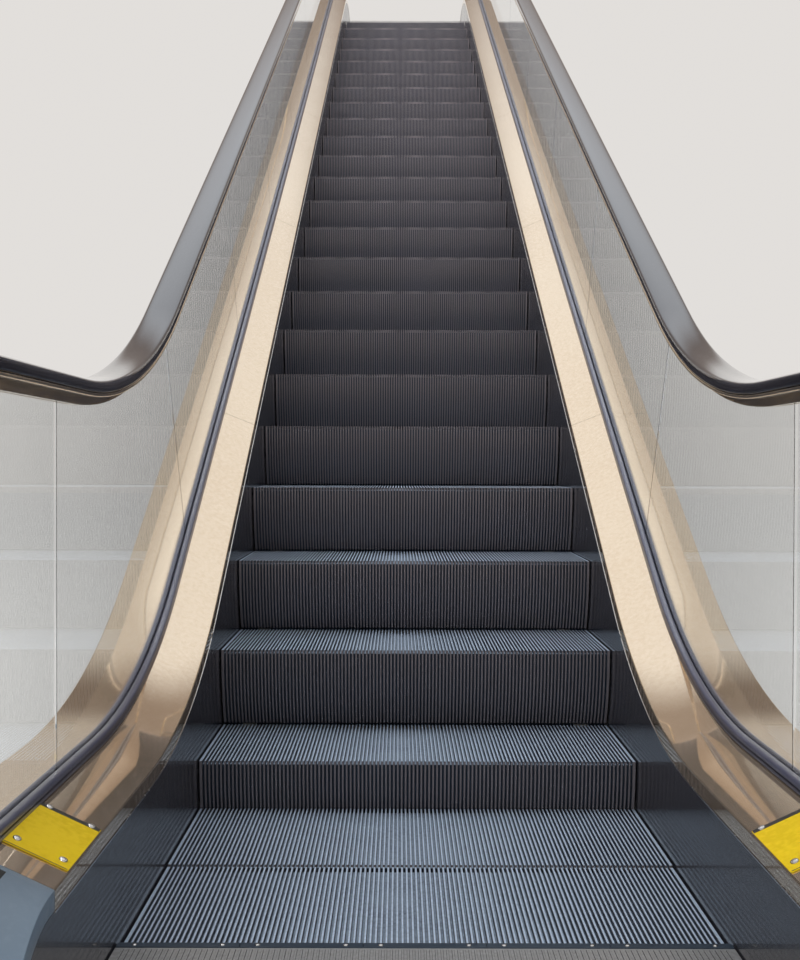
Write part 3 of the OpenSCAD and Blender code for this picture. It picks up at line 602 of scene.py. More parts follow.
def dark_skirt():
    """Dark grey low-friction skirt panel, semi-gloss, with a fine brushed grain."""
    material, tree, shader, place = smeared_finish(
        "dark_skirt_coating", (0.027, 0.028, 0.036), (0.038, 0.037, 0.042), (0.16, 0.26), 1.4,
        Coat_Weight=0.4, Coat_Roughness=0.06, Specular_IOR_Level=0.4,
    )
    grain = use(tree, GRAIN, -800, -300, {"Vector": place, "Fineness": 260.0})
    bumped(tree, shader, grain["Height"], 0.02, 0.0004)
    return material


def cleated_aluminium():
    """Die-cast cleats, one aluminium lit and shaded by which way each face looks: tread tops lighter, partly bare
    worn metal and partly painted light from above, riser faces painted darker and the cleats' sides painted darkest
    as shade.
    """
    material, tree, shader, place = finish("cleated_step_aluminium", Metallic=0.5)
    facing = use(tree, FACING, -1000, 400)
    mask, roughness = smears(tree, place, 5.0, (0.34, 0.48))
    # Painted shade: faces that look across, the cleats' sides, get the darkest tone, and the riser faces a darker
    # one.
    side = colour_mix(tree, facing["Across"], (0.215, 0.190, 0.200), (0.045, 0.060, 0.090), -700, 450)
    top = colour_mix(tree, mask, (0.54, 0.66, 0.82), (0.44, 0.54, 0.67), -700, 200)
    # Painted light: faces that look up, the tread tops, get the lighter tone, part of it real worn metal.
    coloured(tree, shader, colour_mix(tree, facing["Up"], side, top), roughness)
    return material


def groove_light_and_shade():
    """Step bodies, lit and shaded by facing: the groove floors on the tread painted lighter as light from above, the
    riser and everything below painted dark as shade.
    """
    material, tree, shader, place = finish("step_body_light_and_shade", Specular_IOR_Level=0.35)
    facing = use(tree, FACING, -1000, 400)
    mask, roughness = smears(tree, place, 8.0, (0.5, 0.75))
    # Painted shade: every face that doesn't look up, the riser and below, gets the dark tone; the smears are real.
    dark = colour_mix(tree, mask, (0.030, 0.043, 0.070), (0.040, 0.050, 0.070), -600, 450)
    bare = colour_mix(tree, mask, (0.24, 0.30, 0.38), (0.17, 0.21, 0.27), -600, 200)
    # Painted light: the faces that look up, the groove floors on the tread, get the lighter tone.
    coloured(tree, shader, colour_mix(tree, facing["Up"], dark, bare), roughness)
    return material


def ribbed_aluminium():
    """Pale aluminium of the comb plates and floor plates: faces that look up keep it, with its smears, and every
    other face, the ribs' sides and the plates' edges, is painted dark as shade.
    """
    material, tree, shader, place = finish("pale_ribbed_aluminium", Metallic=0.8)
    facing = use(tree, FACING, -1000, 400)
    mask, roughness = smears(tree, place, 6.0, (0.30, 0.46))
    top = colour_mix(tree, mask, (0.56, 0.57, 0.58), (0.45, 0.45, 0.45), -700, 200)
    # Painted shade: the faces that don't look up get a dark grey.
    coloured(tree, shader, colour_mix(tree, facing["Up"], (0.16, 0.16, 0.165), top), roughness)
    return material


def bright_steel():
    """Polished steel of screws and trims."""
    return smeared_finish(
        "bright_steel", (0.72, 0.71, 0.70), (0.58, 0.57, 0.55), (0.12, 0.28), 20.0, Metallic=1.0
    )[0]


def painted(name, clean, marked, rough=0.45, metallic=0.0, scale=3.0, gloss=0.5):
    """Satin paint with a slight mottle and dust."""
    material, tree, shader, place = smeared_finish(
        name, clean, marked, (rough, rough + 0.15), scale, Metallic=metallic, Specular_IOR_Level=gloss
    )
    uneven(tree, shader, place, broad=3.0, narrow=60.0, mixed=0.2, strength=0.08, distance=0.002)
    return material


MIRROR = mirror_bronze()
CLAD = satin_bronze()
CHAMPAGNE = champagne()
RUBBER = black_handrail()
SEAL = seal_rubber()
GLASS = clear_glass()
SKIRTING = dark_skirt()
CLEATS = cleated_aluminium()
GROOVES = groove_light_and_shade()
RIBBED = ribbed_aluminium()
STEEL = bright_steel()
CAP_PAINT = painted("grey_blue_cap_paint", (0.120, 0.165, 0.215), (0.150, 0.195, 0.245), 0.30)
INLET_BLACK = painted("black_inlet_moulding", (0.012, 0.012, 0.013), (0.03, 0.03, 0.03), 0.5, scale=12.0)
YELLOW = painted(
    "yellow_plate_enamel", (0.66, 0.46, 0.003), (0.58, 0.40, 0.004), 0.35, scale=10.0, gloss=0.15
)
EDGE_BLACK = painted("black_plate_edge", (0.012, 0.012, 0.012), (0.03, 0.03, 0.03), 0.3, scale=10.0)
COMB_DARK = painted("dark_comb_metal", (0.022, 0.036, 0.055), (0.034, 0.048, 0.066), 0.36, 0.3, 9.0)
STRUCTURE = painted("grey_structure_paint", (0.20, 0.21, 0.22), (0.26, 0.265, 0.27), 0.5)
CLAMP_METAL = painted("clamp_aluminium", (0.42, 0.42, 0.42), (0.5, 0.5, 0.5), 0.4, 0.8)
TRACK_STEEL = painted("rolled_track_steel", (0.33, 0.33, 0.33), (0.42, 0.41, 0.40), 0.35, 0.9)
SOFFIT_PAINT = painted("warm_grey_soffit_paint", (0.40, 0.36, 0.31), (0.44, 0.40, 0.35), 0.4)


def wear(thing, material):
    """Gives a piece its material."""
    thing.data.materials.clear()
    thing.data.materials.append(material)
    return thing


def finished(thing, slot, *nodes):
    """Fixes a piece to the escalator and hides the plain nodes that it stands for; slot is not used."""
    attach(thing, "root")
    if nodes:
        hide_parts(*nodes)
    return thing


# Steps


def nosing_places():
    """Where each step's nosing is, from the lowest step to the highest."""
    past_comb = 0.01
    first = past_comb - LOW_FLAT - STEP_PITCH
    bend = LOW_BEND_R * SLOPE
    slope = bend + RISE / math.sin(SLOPE) - (LOW_BEND_R + UP_BEND_R) * HALF
    top = slope + UP_BEND_R * SLOPE
    end_y = KINK + RUN + UP_BEND_R * HALF
    for number in range(STEP_COUNT):
        way = first + number * STEP_PITCH
        if way < 0:
            yield BEND_LOW + way, TREAD
        elif way < bend:
            turn = way / LOW_BEND_R
            yield BEND_LOW + LOW_BEND_R * math.sin(turn), TREAD + LOW_BEND_R * (1 - math.cos(turn))
        elif way < slope:
            along = way - bend + LOW_BEND_R * HALF
            yield KINK + along * math.cos(SLOPE), TREAD + along * math.sin(SLOPE)
        elif way < top:
            turn = (top - way) / UP_BEND_R
            yield end_y - UP_BEND_R * math.sin(turn), TREAD + RISE - UP_BEND_R * (1 - math.cos(turn))
        else:
            yield end_y + way - top, TREAD + RISE


def bent_strip(name, low_x, high_x, top, foot, riser_foot, tip=0.0):
    """A strip along the tread, over the nosing and down the curved riser, of a step whose nosing is at 0."""
    back = STEP_DEPTH - 0.02
    riser_turn = 29.5
    thing = block(name, (low_x, back, -foot), (high_x, STEP_DEPTH, -top))
    edit(thing)
    pick(lambda c, n: n.y < -0.9)
    pull(y=-(back - riser_foot))
    pick_points(lambda p: p.y < riser_foot + 0.001 and p.z > -(top + foot) / 2)
    shift(y=top - riser_foot)
    pick(lambda c, n: n.y < -0.1)
    swing(STEP_DEPTH, 0, riser_turn, 6)
    if tip:
        round_edges(lambda a, b: edge_of_tip(a, b, top), tip, 1)
    done()
    return thing


def edge_of_tip(a, b, top):
    """Is this a long edge on the outside of a cleat?"""
    if abs(a.x - b.x) > CLOSE or a.y == b.y:
        return False
    riser_r = STEP_DEPTH - top
    return all(near(p.z, -top) or abs(math.hypot(p.y - STEP_DEPTH, p.z) - riser_r) < 5e-4 for p in (a, b))


def tie_bar(name, side, p, q, width):
    """A straight bar of the step's side frame."""
    length = math.dist(p, q)
    middle = ((p[0] + q[0]) / 2, (p[1] + q[1]) / 2)
    turn = math.atan2(q[1] - p[1], q[0] - p[0])
    low_x, high_x = sorted((side * BAR_IN, side * BAR_OUT))
    thing = block(
        name, (low_x, middle[0] - length / 2, middle[1] - width / 2),
        (high_x, middle[0] + length / 2, middle[1] + width / 2), turn,
    )
    edit(thing)
    pick_all()
    bpy.ops.mesh.bevel(offset=0.0015, segments=1, affect="EDGES")
    done()
    return thing


def roller_wheel(name, x, y, z, radius):
    """A roller with a sunk hub."""
    half_width = 0.012
    thing = rod(name, x - half_width, x + half_width, y, z, radius, 20)
    edit(thing)
    pick(lambda c, n: abs(n.x) > 0.9)
    bpy.ops.mesh.inset(thickness=radius * 0.3, use_individual=True)
    bpy.ops.mesh.inset(thickness=0.001, depth=-0.004, use_individual=True)
    done()
    return thing


def cleat_strip(name, low_x, width):
    """One cleat of a step, its long edges a little broken."""
    return bent_strip(name, low_x, low_x + width, 0.0, CLEAT_HEIGHT, CLEAT_HEIGHT, 0.0006)


def make_step():
    """A whole step with its nosing at 0: body, cleats, side frames, axles and rollers."""
    body = bent_strip("step_body", -STEP_SIDE, STEP_SIDE, 0.01, 0.024, 0.016)
    cleat = cleat_strip("cleat", -0.4882, 0.0044)
    row_of(cleat, CLEAT_COUNT, x=CLEAT_PITCH)
    edges = [cleat_strip("edge_cleat", low_x, 0.0069) for low_x in (-0.4997, 0.4928)]
    for strip in [cleat] + edges:
        wear(strip, CLEATS)
    wear(body, GROOVES)
    bars = []
    front_lug, axle, trail, back_lug = (0.03, -0.012), (0.345, -0.095), (0.095, -0.15), (0.372, -0.012)
    chain_x, trail_x = 0.545, 0.434
    for side in (-1, 1):
        for p, q in ((front_lug, trail), (trail, axle), (axle, back_lug)):
            bars.append(tie_bar("frame_bar", side, p, q, 0.022))
        bars.append(roller_wheel("roller", side * chain_x, *axle, 0.038))
        bars.append(roller_wheel("roller", side * trail_x, *trail, 0.03))
        inner, outer = sorted((side * trail_x, side * BAR_OUT))
        bars.append(rod("stub_axle", inner, outer, *trail, 0.008, 12))
    bars.append(rod("chain_axle", -chain_x, chain_x, *axle, 0.01, 12))
    for bar in bars:
        wear(bar, STRUCTURE)
    return joined("step", [body, cleat] + edges + bars)


def build_steps():
    """Copies the step to all its places, in a lower, a middle and an upper flight."""
    pattern = smooth(make_step(), 30)
    places = list(nosing_places())
    third = math.ceil(STEP_COUNT / 3)
    for number, name in enumerate(("lower", "middle", "upper")):
        steps = []
        for y, z in places[number * third:(number + 1) * third]:
            steps.append(moved(copy_of(pattern), y=y, z=z))
        flight = joined(name + "_cleated_steps", steps)
        finished(flight, "step", name + "_steps")
    bpy.data.objects.remove(pattern)


# Decks, seals and guides, made for the right side


def inner_deck():
    """The sloping deck between the skirt and the glass, with its folds."""
    sheet, fall, z = SHEET, DECK_FALL, DECK_Z
    tuck, under = 0.02, z - 0.0035
    thing = block("inner_deck", (CLAMP, DECK_LOW, z - tuck), (CLAMP + sheet, DECK_LOW + START, z))
    edit(thing)
    slice_across(z=under)
    pick(lambda c, n: n.x < -0.9 and c.z > under)
    slope = fall / (CLAMP - SKIRT)
    pull(x=-(CLAMP - SKIRT - sheet), z=-(fall - sheet * slope))
    pull(x=-sheet, z=-sheet * slope)
    pick(lambda c, n: n.z < -0.5 and c.x < SKIRT + sheet)
    pull(z=-DECK_TRIM)
    pick_points(lambda p: p.x < SKIRT + sheet + 1e-4 and p.z < z - fall - 0.0085)
    bpy.ops.transform.resize(value=(1, 1, 0), center_override=(0, 0, z - fall - DECK_TRIM))
    round_edges(lambda a, b: along_y(a, b) and near(a.x, SKIRT) and near(a.z, z - fall), 0.0025, 3)
    round_edges(lambda a, b: along_y(a, b) and near(a.x, CLAMP + sheet) and near(a.z, z), 0.0012, 2)
    front()
    run_along(DECK_LINE, DECK_UP)
    done()
    return thing


def outer_deck():
    """The flat deck outside the glass, folded down over the cladding."""
    sheet, z, fold, tuck = SHEET, DECK_Z, 0.027, 0.017
    low_x = CLAMP_OUT + 0.0003
    thing = block("outer_deck", (low_x, DECK_LOW, z - sheet), (SIDE, DECK_LOW + START, z))
    edit(thing)
    slice_across(x=low_x + sheet)
    slice_across(x=SIDE - sheet)
    pick(lambda c, n: n.z < -0.9 and c.x > SIDE - sheet)
    pull(z=-fold)
    pick(lambda c, n: n.z < -0.9 and c.x < low_x + sheet)
    pull(z=-tuck)
    round_edges(lambda a, b: along_y(a, b) and near(a.x, SIDE) and near(a.z, z), 0.0025, 3)
    round_edges(lambda a, b: along_y(a, b) and near(a.x, low_x) and near(a.z, z), 0.001, 2)
    front()
    run_along(DECK_LINE, DECK_UP)
    done()
    return thing


def deck_in_lengths(whole, name):
    """Cuts a deck at its four joints."""
    first, pitch, gap = 1.6, 1.865, 0.0015
    joints = [first + number * pitch for number in range(4)]
    starts = [None] + [joint + gap for joint in joints]
    lengths = [cut_between(whole, name, DECK_LINE, a, b) for a, b in zip(starts, joints + [None])]
    bpy.data.objects.remove(whole)
    return smooth(wear(joined(name, lengths), MIRROR), 30)


def glass_seal(low_x, high_x, name):
    """Rubber bead with a rounded top and a drip groove along its side."""
    foot, top = DECK_Z + 0.0003, DECK_Z + 0.02
    groove_low, groove_high, groove_deep = DECK_Z + 0.006, DECK_Z + 0.0085, 0.0015
    thing = block(name, (low_x, DECK_LOW, foot), (high_x, DECK_LOW + START, top))
    edit(thing)
    slice_across(z=groove_low)
    slice_across(z=groove_high)
    outward = -1 if low_x < GLASS_MID else 1
    pick(lambda c, n: n.x * outward > 0.9 and groove_low < c.z < groove_high)
    pull(x=-outward * groove_deep)
    round_edges(lambda a, b: along_y(a, b) and near(a.z, top), 0.0052, 4)
    front()
    run_along(DECK_LINE, DECK_UP)
    done()
    return smooth(wear(thing, SEAL), 40)


def skirt_trim():
    """Thin bright strip along the top of the skirt."""
    line = line_below(DECK_LINE, DECK_FALL + DECK_TRIM + 0.0005)
    z = TREAD + line[0]
    low_x, height = SKIRT - 0.0012, 0.003
    thing = block("skirt_trim", (low_x, DECK_LOW, z - height), (SKIRT, DECK_LOW + START, z))
    edit(thing)
    round_edges(lambda a, b: along_y(a, b) and near(a.x, low_x), 0.0005, 2)
    front()
    run_along(line, DECK_UP)
    done()
    return smooth(wear(thing, STEEL), 40)


def newel_turns(tail):
    """Runs a section's two ends round the newels and a little way back inside."""
    for end_y, height, way in ((NEWEL_LOW, 0.0, -1), (NEWEL_UP, RISE, 1)):
        pick(lambda c, n: n.y * way > 0.9 and abs(c.y - end_y) < 0.01)
        swing(end_y, NEWEL_Z + height, -180 * way, 36)
        if tail:
            pull(y=-way * tail)


def handrail():
    """Black handrail: a crowned top, rounded sides and a channel that takes the guide."""
    z = TREAD + HAND_LINE[0]
    half, foot, mouth, channel = 0.04, z - 0.025, 0.023, 0.032
    lip, hollow = 0.008, 0.009
    flat, shoulder = 0.3, half * 0.75
    thing = block("handrail", (GLASS_MID - half, NEWEL_LOW, foot), (GLASS_MID + half, NEWEL_LOW + START, z))
    edit(thing)
    for reach in (mouth, half * flat, shoulder):
        slice_across(x=GLASS_MID - reach)
        slice_across(x=GLASS_MID + reach)
    for reach in (mouth, shoulder, half):
        pick_points(lambda p: near(p.z, z) and near(abs(p.x - GLASS_MID), reach))
        shift(z=-HAND_CROWN * ((reach / half - flat) / (1 - flat)) ** 2)
    pick(lambda c, n: n.z < -0.9 and abs(c.x - GLASS_MID) < mouth)
    pull(z=lip)
    widen(channel / mouth)
    pull(z=hollow)
    round_edges(
        lambda a, b: along_y(a, b) and near(a.z, z - HAND_CROWN) and near(abs(a.x - GLASS_MID), half), 0.0085, 6
    )
    round_edges(lambda a, b: along_y(a, b) and near(a.z, foot) and near(abs(a.x - GLASS_MID), half), 0.0045, 3)
    front()
    run_along(HAND_LINE, NEWEL_UP, 18)
    newel_turns(tail=0.045)
    done()
    return smooth(wear(thing, RUBBER), 35)


def handrail_guide():
    """Guide track: it grips the glass, shows as a flange under the handrail and fills its channel."""
    z = TREAD + HAND_LINE[0]
    grip, slot, flange, neck, head = 0.012, 0.0053, 0.0394, 0.0227, 0.0317
    foot, rim, top = z - 0.047, z - 0.044, z - 0.0323
    lip = 0.002
    thing = block("guide", (GLASS_MID - grip, NEWEL_LOW, foot), (GLASS_MID + grip, NEWEL_LOW + START, top))
    edit(thing)
    slice_across(z=rim)
    slice_across(x=GLASS_MID - slot)
    slice_across(x=GLASS_MID + slot)
    for way in (-1, 1):
        pick(lambda c, n: n.x * way > 0.9 and c.z < rim)
        pull(x=way * lip)
    pick(lambda c, n: n.z < -0.9 and abs(c.x - GLASS_MID) < slot)
    pull(z=0.0163)
    pick(lambda c, n: n.z > 0.9 and near(c.z, top))
    widen(flange / grip)
    pull(z=0.007)
    widen(neck / flange)
    pull(z=0.0086)
    widen(head / neck)
    pull(z=0.0084)
    round_edges(lambda a, b: along_y(a, b) and near(abs(a.x - GLASS_MID), flange), 0.0034, 5)
    round_edges(lambda a, b: along_y(a, b) and near(abs(a.x - GLASS_MID), grip + lip), 0.0012, 2)
    front()
    run_along(HAND_LINE, NEWEL_UP, 18)
    newel_turns(tail=0)
    done()
    return smooth(wear(thing, CHAMPAGNE), 30)


def both_sides(thing, kind, slot, node):
    """Keeps a piece for the right side and mirrors it for the left."""
    thing.name = "right_" + kind
    left = mirrored(thing, "left_" + kind)
    for side, piece in (("right_", thing), ("left_", left)):
        finished(piece, slot, *([side + node] if node else []))


def build_balustrades():
    both_sides(deck_in_lengths(inner_deck(), "inner_deck"), "inner_deck_sheets", "deck", "inner_deck")
    both_sides(deck_in_lengths(outer_deck(), "outer_deck"), "outer_deck_sheets", "deck", "outer_deck")
    inside = glass_seal(CLAMP - 0.005, CLAMP + 0.011, "seal_in")
    outside = glass_seal(GLASS_MID + 0.0053, GLASS_MID + 0.0163, "seal_out")
    both_sides(joined("seals", [inside, outside]), "seal_beads", "seal", "glass_seals")
    both_sides(skirt_trim(), "skirt_trim", "skirt", None)
    both_sides(handrail(), "rubber_handrail", "handrail", "handrail")
    both_sides(handrail_guide(), "guide_track", "guide", "handrail_guide")


# Combs, plates and screws


def dome_screw(name, x, y, z, radius):
    """A raised, domed screw head on a flat face."""
    clear()
    bpy.ops.mesh.primitive_cylinder_add(vertices=20, radius=radius, depth=0.0024, location=(0, 0, 0.0008))
    thing = bpy.context.object
    thing.name = name
    settle()
    edit(thing)
    pick(lambda c, n: n.z > 0.9)
    bpy.ops.mesh.inset(thickness=radius * 0.35, depth=radius * 0.22)
    bpy.ops.mesh.inset(thickness=radius * 0.35, depth=radius * 0.08)
    done()
    smooth(thing, 60)
    return wear(moved(thing, x, y, z), STEEL)


# The combs are made round their own middle, with the roots of the teeth at y = 0 and the tread at z = 0
COMB_FOOT = 0.0003
COMB_KNEE = -0.0185
PLATE_TOP = 0.016


def comb_teeth():
    """A row of teeth that taper down between the cleats."""
    width = 0.0038
    x = -0.4905
    thing = block("tooth", (x - width / 2, COMB_KNEE, COMB_FOOT), (x + width / 2, 0.0, 0.006))
    edit(thing)
    pick_points(lambda p: near(p.y, COMB_KNEE) and near(p.z, 0.006))
    shift(z=0.007)
    front()
    pull(y=0.012, z=-0.006)
    pull(y=0.012, z=-0.003)
    pick_points(lambda p: near(p.y, 0.024))
    bpy.ops.transform.resize(value=(0.6, 1, 0.12), center_override=(x, 0, -0.006))
    done()
    return wear(row_of(thing, CLEAT_COUNT + 1, x=CLEAT_PITCH), COMB_DARK)


def comb_bodies():
    """Five comb segments, each held by two screws."""
    low_x, width, pitch = -0.4997, 0.1994, 0.2
    thing = block("comb_body", (low_x, -0.037, COMB_FOOT), (low_x + width, COMB_KNEE, PLATE_TOP))
    edit(thing)
    front()
    pull(y=-COMB_KNEE)
    pick_points(lambda p: near(p.y, 0) and near(p.z, PLATE_TOP))
    shift(z=-0.01)
    round_edges(lambda a, b: both_near(a, b, PLATE_TOP), 0.0007, 2)
    done()
    wear(thing, COMB_DARK)
    screws = [dome_screw("comb_screw", -0.4 + side * 0.0715, -0.028, 0.0146, 0.0042) for side in (-1, 1)]
    return row_of(joined("comb_segment", [thing] + screws), 5, x=pitch)


def ribbed_plate(name, low, high, ribs_low_x, count, rim):
    """A plate with a plain rim and fine ribs along the flight, whose tops are the plate's top."""
    rib_width, rib_height, sunk = 0.0045, 0.0015, 0.002
    top = high[2]
    thing = block(name, low, (high[0], high[1], top - rib_height))
    edit(thing)
    pick(lambda c, n: n.z > 0.9)
    bpy.ops.mesh.inset(thickness=rim)
    done()
    rib = block("rib", (ribs_low_x, low[1] + rim, top - sunk), (ribs_low_x + rib_width, high[1] - rim, top))
    edit(rib)
    round_edges(lambda a, b: both_near(a, b, top), 0.0007, 1)
    done()
    row_of(rib, count, x=CLEAT_PITCH)
    return wear(joined(name, [thing, rib]), RIBBED)


def place_at_combs(thing, kind, slot, node):
    """Keeps a piece for the lower landing and mirrors it for the upper one."""
    low = moved(thing, y=COMB_LOW, z=TREAD)
    low.name = "lower_" + kind
    up = mirrored(low, "upper_" + kind, across_y=(COMB_LOW + COMB_UP) / 2)
    moved(up, z=RISE)
    finished(low, slot, "lower_" + node)
    finished(up, slot, "upper_" + node)


def build_landings():
    """Combs, comb plates and floor plates of both landings."""
    teeth = comb_teeth()
    place_at_combs(joined("comb", [comb_bodies(), teeth]), "fine_comb", "comb", "comb")
    side, sole_z, under_z = STEP_SIDE, 0.003, -0.014
    low, high = (-side, -CAP_END, sole_z), (side, -0.0375, PLATE_TOP)
    plate = ribbed_plate("comb_plate", low, high, -0.4885, CLEAT_COUNT, 0.008)
    sole = block("comb_plate_sole", (-side, -CAP_END, under_z), (side, -NEWEL_PAST_COMB, sole_z))
    plate = joined("comb_plate", [plate, wear(sole, RIBBED)])
    place_at_combs(plate, "ribbed_comb_plate", "comb_plate", "comb_plate")
    side = 0.7467
    low, high = (-side, -1.55, under_z), (side, -CAP_END - 0.003, PLATE_TOP)
    floor = ribbed_plate("floor_plate", low, high, -0.7335, 163, 0.012)
    place_at_combs(floor, "ribbed_floor_plate", "floor_plate", "floor_plate")


def caution_plates():
    """Bare yellow plates, each with a dark band across its upper end and four low dome screws."""
    half, length, thick = 0.0514, 0.195, 0.0016
    fall = math.atan2(DECK_FALL, CLAMP - SKIRT)
    thing = block("caution", (-half, 0, 0.0), (half, length, thick))
    edit(thing)
    round_edges(lambda a, b: abs(a.z - b.z) > 0.001, 0.003, 3)
    round_edges(lambda a, b: both_near(a, b, thick), 0.0005, 2)
    done()
    wear(thing, YELLOW)
    sunk, top = thick - 0.0006, thick + 0.0004
    band = block("band", (-half + 0.001, length - 0.0135, sunk), (half - 0.001, length - 0.001, top))
    edit(band)
    round_edges(lambda a, b: both_near(a, b, top), 0.0003, 1)
    done()
    edge = block("edge_line", (-half + 0.002, 0.0015, sunk), (half - 0.002, 0.0035, thick + 0.0002))
    screws = [
        dome_screw("plate_screw", x, y, thick, 0.0065) for x in (-0.036, 0.036) for y in (0.026, length - 0.007)
    ]
    plate = joined("caution_plate", [thing, wear(band, EDGE_BLACK), wear(edge, EDGE_BLACK)] + screws)
    grab(plate)
    plate.rotation_euler = (0, -fall, 0)
    plate.location = ((SKIRT + CLAMP) / 2 - 0.0002, DECK_LOW + 0.07, DECK_Z - DECK_FALL / 2 + 0.0004)
    settle()
    left = mirrored(plate, "left_caution_plate")
    both = joined("bare_caution_plates", [plate, left])
    finished(both, "caution", "caution_plates")


def deck_screws():
    """Small bright screws along the inner decks' lower fold."""
    screws = []
    above_fold = 0.007
    line = line_below(DECK_LINE, DECK_FALL + DECK_TRIM - above_fold)
    first, pitch, count = 0.55, 0.9325, 9
    for number in range(count):
        y, z = on_slope(line, first + number * pitch)
        screw = rod("fold_screw", SKIRT - 0.0014, SKIRT + 0.0006, y, z, 0.0035, 12)
        edit(screw)
        pick(lambda c, n: n.x < -0.9)
        bpy.ops.mesh.inset(thickness=0.0012, depth=0.0006)
        done()
        screws.append(wear(screw, STEEL))
    both_sides(joined("fold_screws", screws), "fold_screws", "deck", None)


# End caps and inlets, made for the right side of the lower landing


def carved(thing, tool, way):
    """Cuts a tool's shape out of a piece, or keeps only what they share."""
    grab(thing)
    cut = thing.modifiers.new("cut", "BOOLEAN")
    cut.operation = way
    cut.solver = "EXACT"
    cut.object = tool
    bpy.ops.object.modifier_apply(modifier="cut")
    bpy.data.objects.remove(tool)
    return thing


def softened(thing, radius, steps=2):
    """Rounds every sharp edge of a piece a little."""
    grab(thing)
    soft = thing.modifiers.new("soft", "BEVEL")
    soft.width = radius
    soft.segments = steps
    soft.limit_method = "ANGLE"
    soft.angle_limit = math.radians(40)
    bpy.ops.object.modifier_apply(modifier="soft")
    return smooth(thing, 40)


def cap_form():
    """The decks' outline carried on, turned down in a quarter round and set on the floor."""
    axis_y, axis_z, back = DECK_LOW - CAP_FLAT, DECK_Z - CAP_R, SKIRT + 0.0063
    lip = DECK_Z - DECK_FALL - DECK_TRIM
    thing = block("cap", (back, axis_y, axis_z), (SIDE, DECK_LOW - 0.0005, DECK_Z))
    edit(thing)
    slice_across(z=lip)
    pick(lambda c, n: n.x < -0.9 and c.z > lip)
    pull(x=SKIRT - back)
    slice_across(x=CLAMP)
    pick_points(lambda p: near(p.x, back) and near(p.z, DECK_Z))
    shift(z=-DECK_FALL * (CLAMP - back) / (CLAMP - SKIRT))
    pick_points(lambda p: near(p.x, SKIRT) and near(p.z, DECK_Z))
    shift(z=-DECK_FALL)
    pick(lambda c, n: n.y < -0.9)
    swing(axis_y, axis_z, 90, 24)
    make_sound()
    pick(lambda c, n: n.z < -0.9 and near(c.z, axis_z))
    foot = TREAD - 0.0597
    pull(z=foot - axis_z)
    done()
    return thing


def inlet_block(play):
    """The space round the end of the handrail."""
    side, before, behind, below = 0.052 + play, 0.09 + play, 0.057 + play, 0.012 + play
    low = (GLASS_MID - side, NEWEL_LOW - before, NEWEL_Z - NEWEL_R - below)
    return block("inlet_space", low, (GLASS_MID + side, NEWEL_LOW + behind, NEWEL_Z))


def handrail_way():
    """The way of the handrail and the glass through the inlet."""
    play = 0.0003
    half, low = 0.04 + play, NEWEL_Z - NEWEL_R - play
    rubber, tail = low + 0.0256, 0.045 + play
    thing = block("way", (GLASS_MID - half, NEWEL_LOW, low), (GLASS_MID + half, NEWEL_LOW + 0.0001, NEWEL_Z))
    edit(thing)
    slice_across(z=rubber)
    pick(lambda c, n: n.y > 0.9 and c.z < rubber)
    pull(y=tail)
    pick(lambda c, n: n.y < -0.9)
    swing(NEWEL_LOW, NEWEL_Z, -90, 36)
    make_sound()
    done()
    return thing


def build_caps():
    """The end caps and the inlets sunk in them, at all four newels."""
    cap = carved(cap_form(), inlet_block(0.0003), "DIFFERENCE")
    inlet = carved(carved(cap_form(), inlet_block(0.0), "INTERSECT"), handrail_way(), "DIFFERENCE")
    wear(softened(cap, 0.0025, 3), CAP_PAINT)
    wear(softened(inlet, 0.0015), INLET_BLACK)
    inlets = []
    for level in ("lower", "upper"):
        for side in ("right", "left"):
            name = f"{level}_{side}"
            shapes = [copy_of(cap, name + "_shaped_cap"), copy_of(inlet, name + "_inlet")]
            if side == "left":
                shapes = [replaced_by_mirror(shape) for shape in shapes]
            if level == "upper":
                shapes = [moved(replaced_by_mirror(shape, (COMB_LOW + COMB_UP) / 2), z=RISE) for shape in shapes]
            finished(shapes[0], "end_cap", name + "_end_cap")
            inlets.append(shapes[1])
    finished(joined("moulded_inlets", inlets), "inlet", "handrail_inlets")
    bpy.data.objects.remove(cap)
    bpy.data.objects.remove(inlet)


def replaced_by_mirror(thing, across_y=None):
    """The mirror image of a piece, in its place and with its name."""
    name = thing.name
    twin = mirrored(thing, name, across_y)
    bpy.data.objects.remove(thing)
    twin.name = name
    return twin


def dress_plain_nodes():
    """Gives every CAD node its finish, also those that a modelled piece replaces."""
    sides, levels = ("left_", "right_"), ("lower_", "upper_")
    looks = [
        (("",), ("truss_cross_members",), STRUCTURE),
        (("",), ("handrail_inlets",), INLET_BLACK),
        (("",), ("caution_plates",), YELLOW),
        (("",), ("soffit",), SOFFIT_PAINT),
        (("lower_", "middle_", "upper_"), ("steps",), GROOVES),
        (levels, ("comb",), COMB_DARK),
        (levels, ("comb_plate", "floor_plate"), RIBBED),
        (levels, ("floor_frame", "end_plate", "bearing"), STRUCTURE),
        (levels, ("left_end_cap", "right_end_cap"), CAP_PAINT),
        (sides, ("inner_deck", "outer_deck"), MIRROR),
        (sides, ("truss_side",), STRUCTURE),
        (sides, ("skirt",), SKIRTING),
        (sides, ("glass_clamp",), CLAMP_METAL),
        (sides, ("glass",), GLASS),
        (sides, ("glass_seals",), SEAL),
        (sides, ("handrail",), RUBBER),
        (sides, ("handrail_guide",), CHAMPAGNE),
        (sides, ("tracks",), TRACK_STEEL),
        (sides, ("cladding",), CLAD),
    ]
    for places, kinds, material in looks:
        for place in places:
            for kind in kinds:
                wear(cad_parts[place + kind], material)


# Studio


PALE = (0.76, 0.735, 0.71)
HALF_WAY_UP = (0.30, 0.25, 0.22)
OVERHEAD = (0.93, 0.96, 1.0)


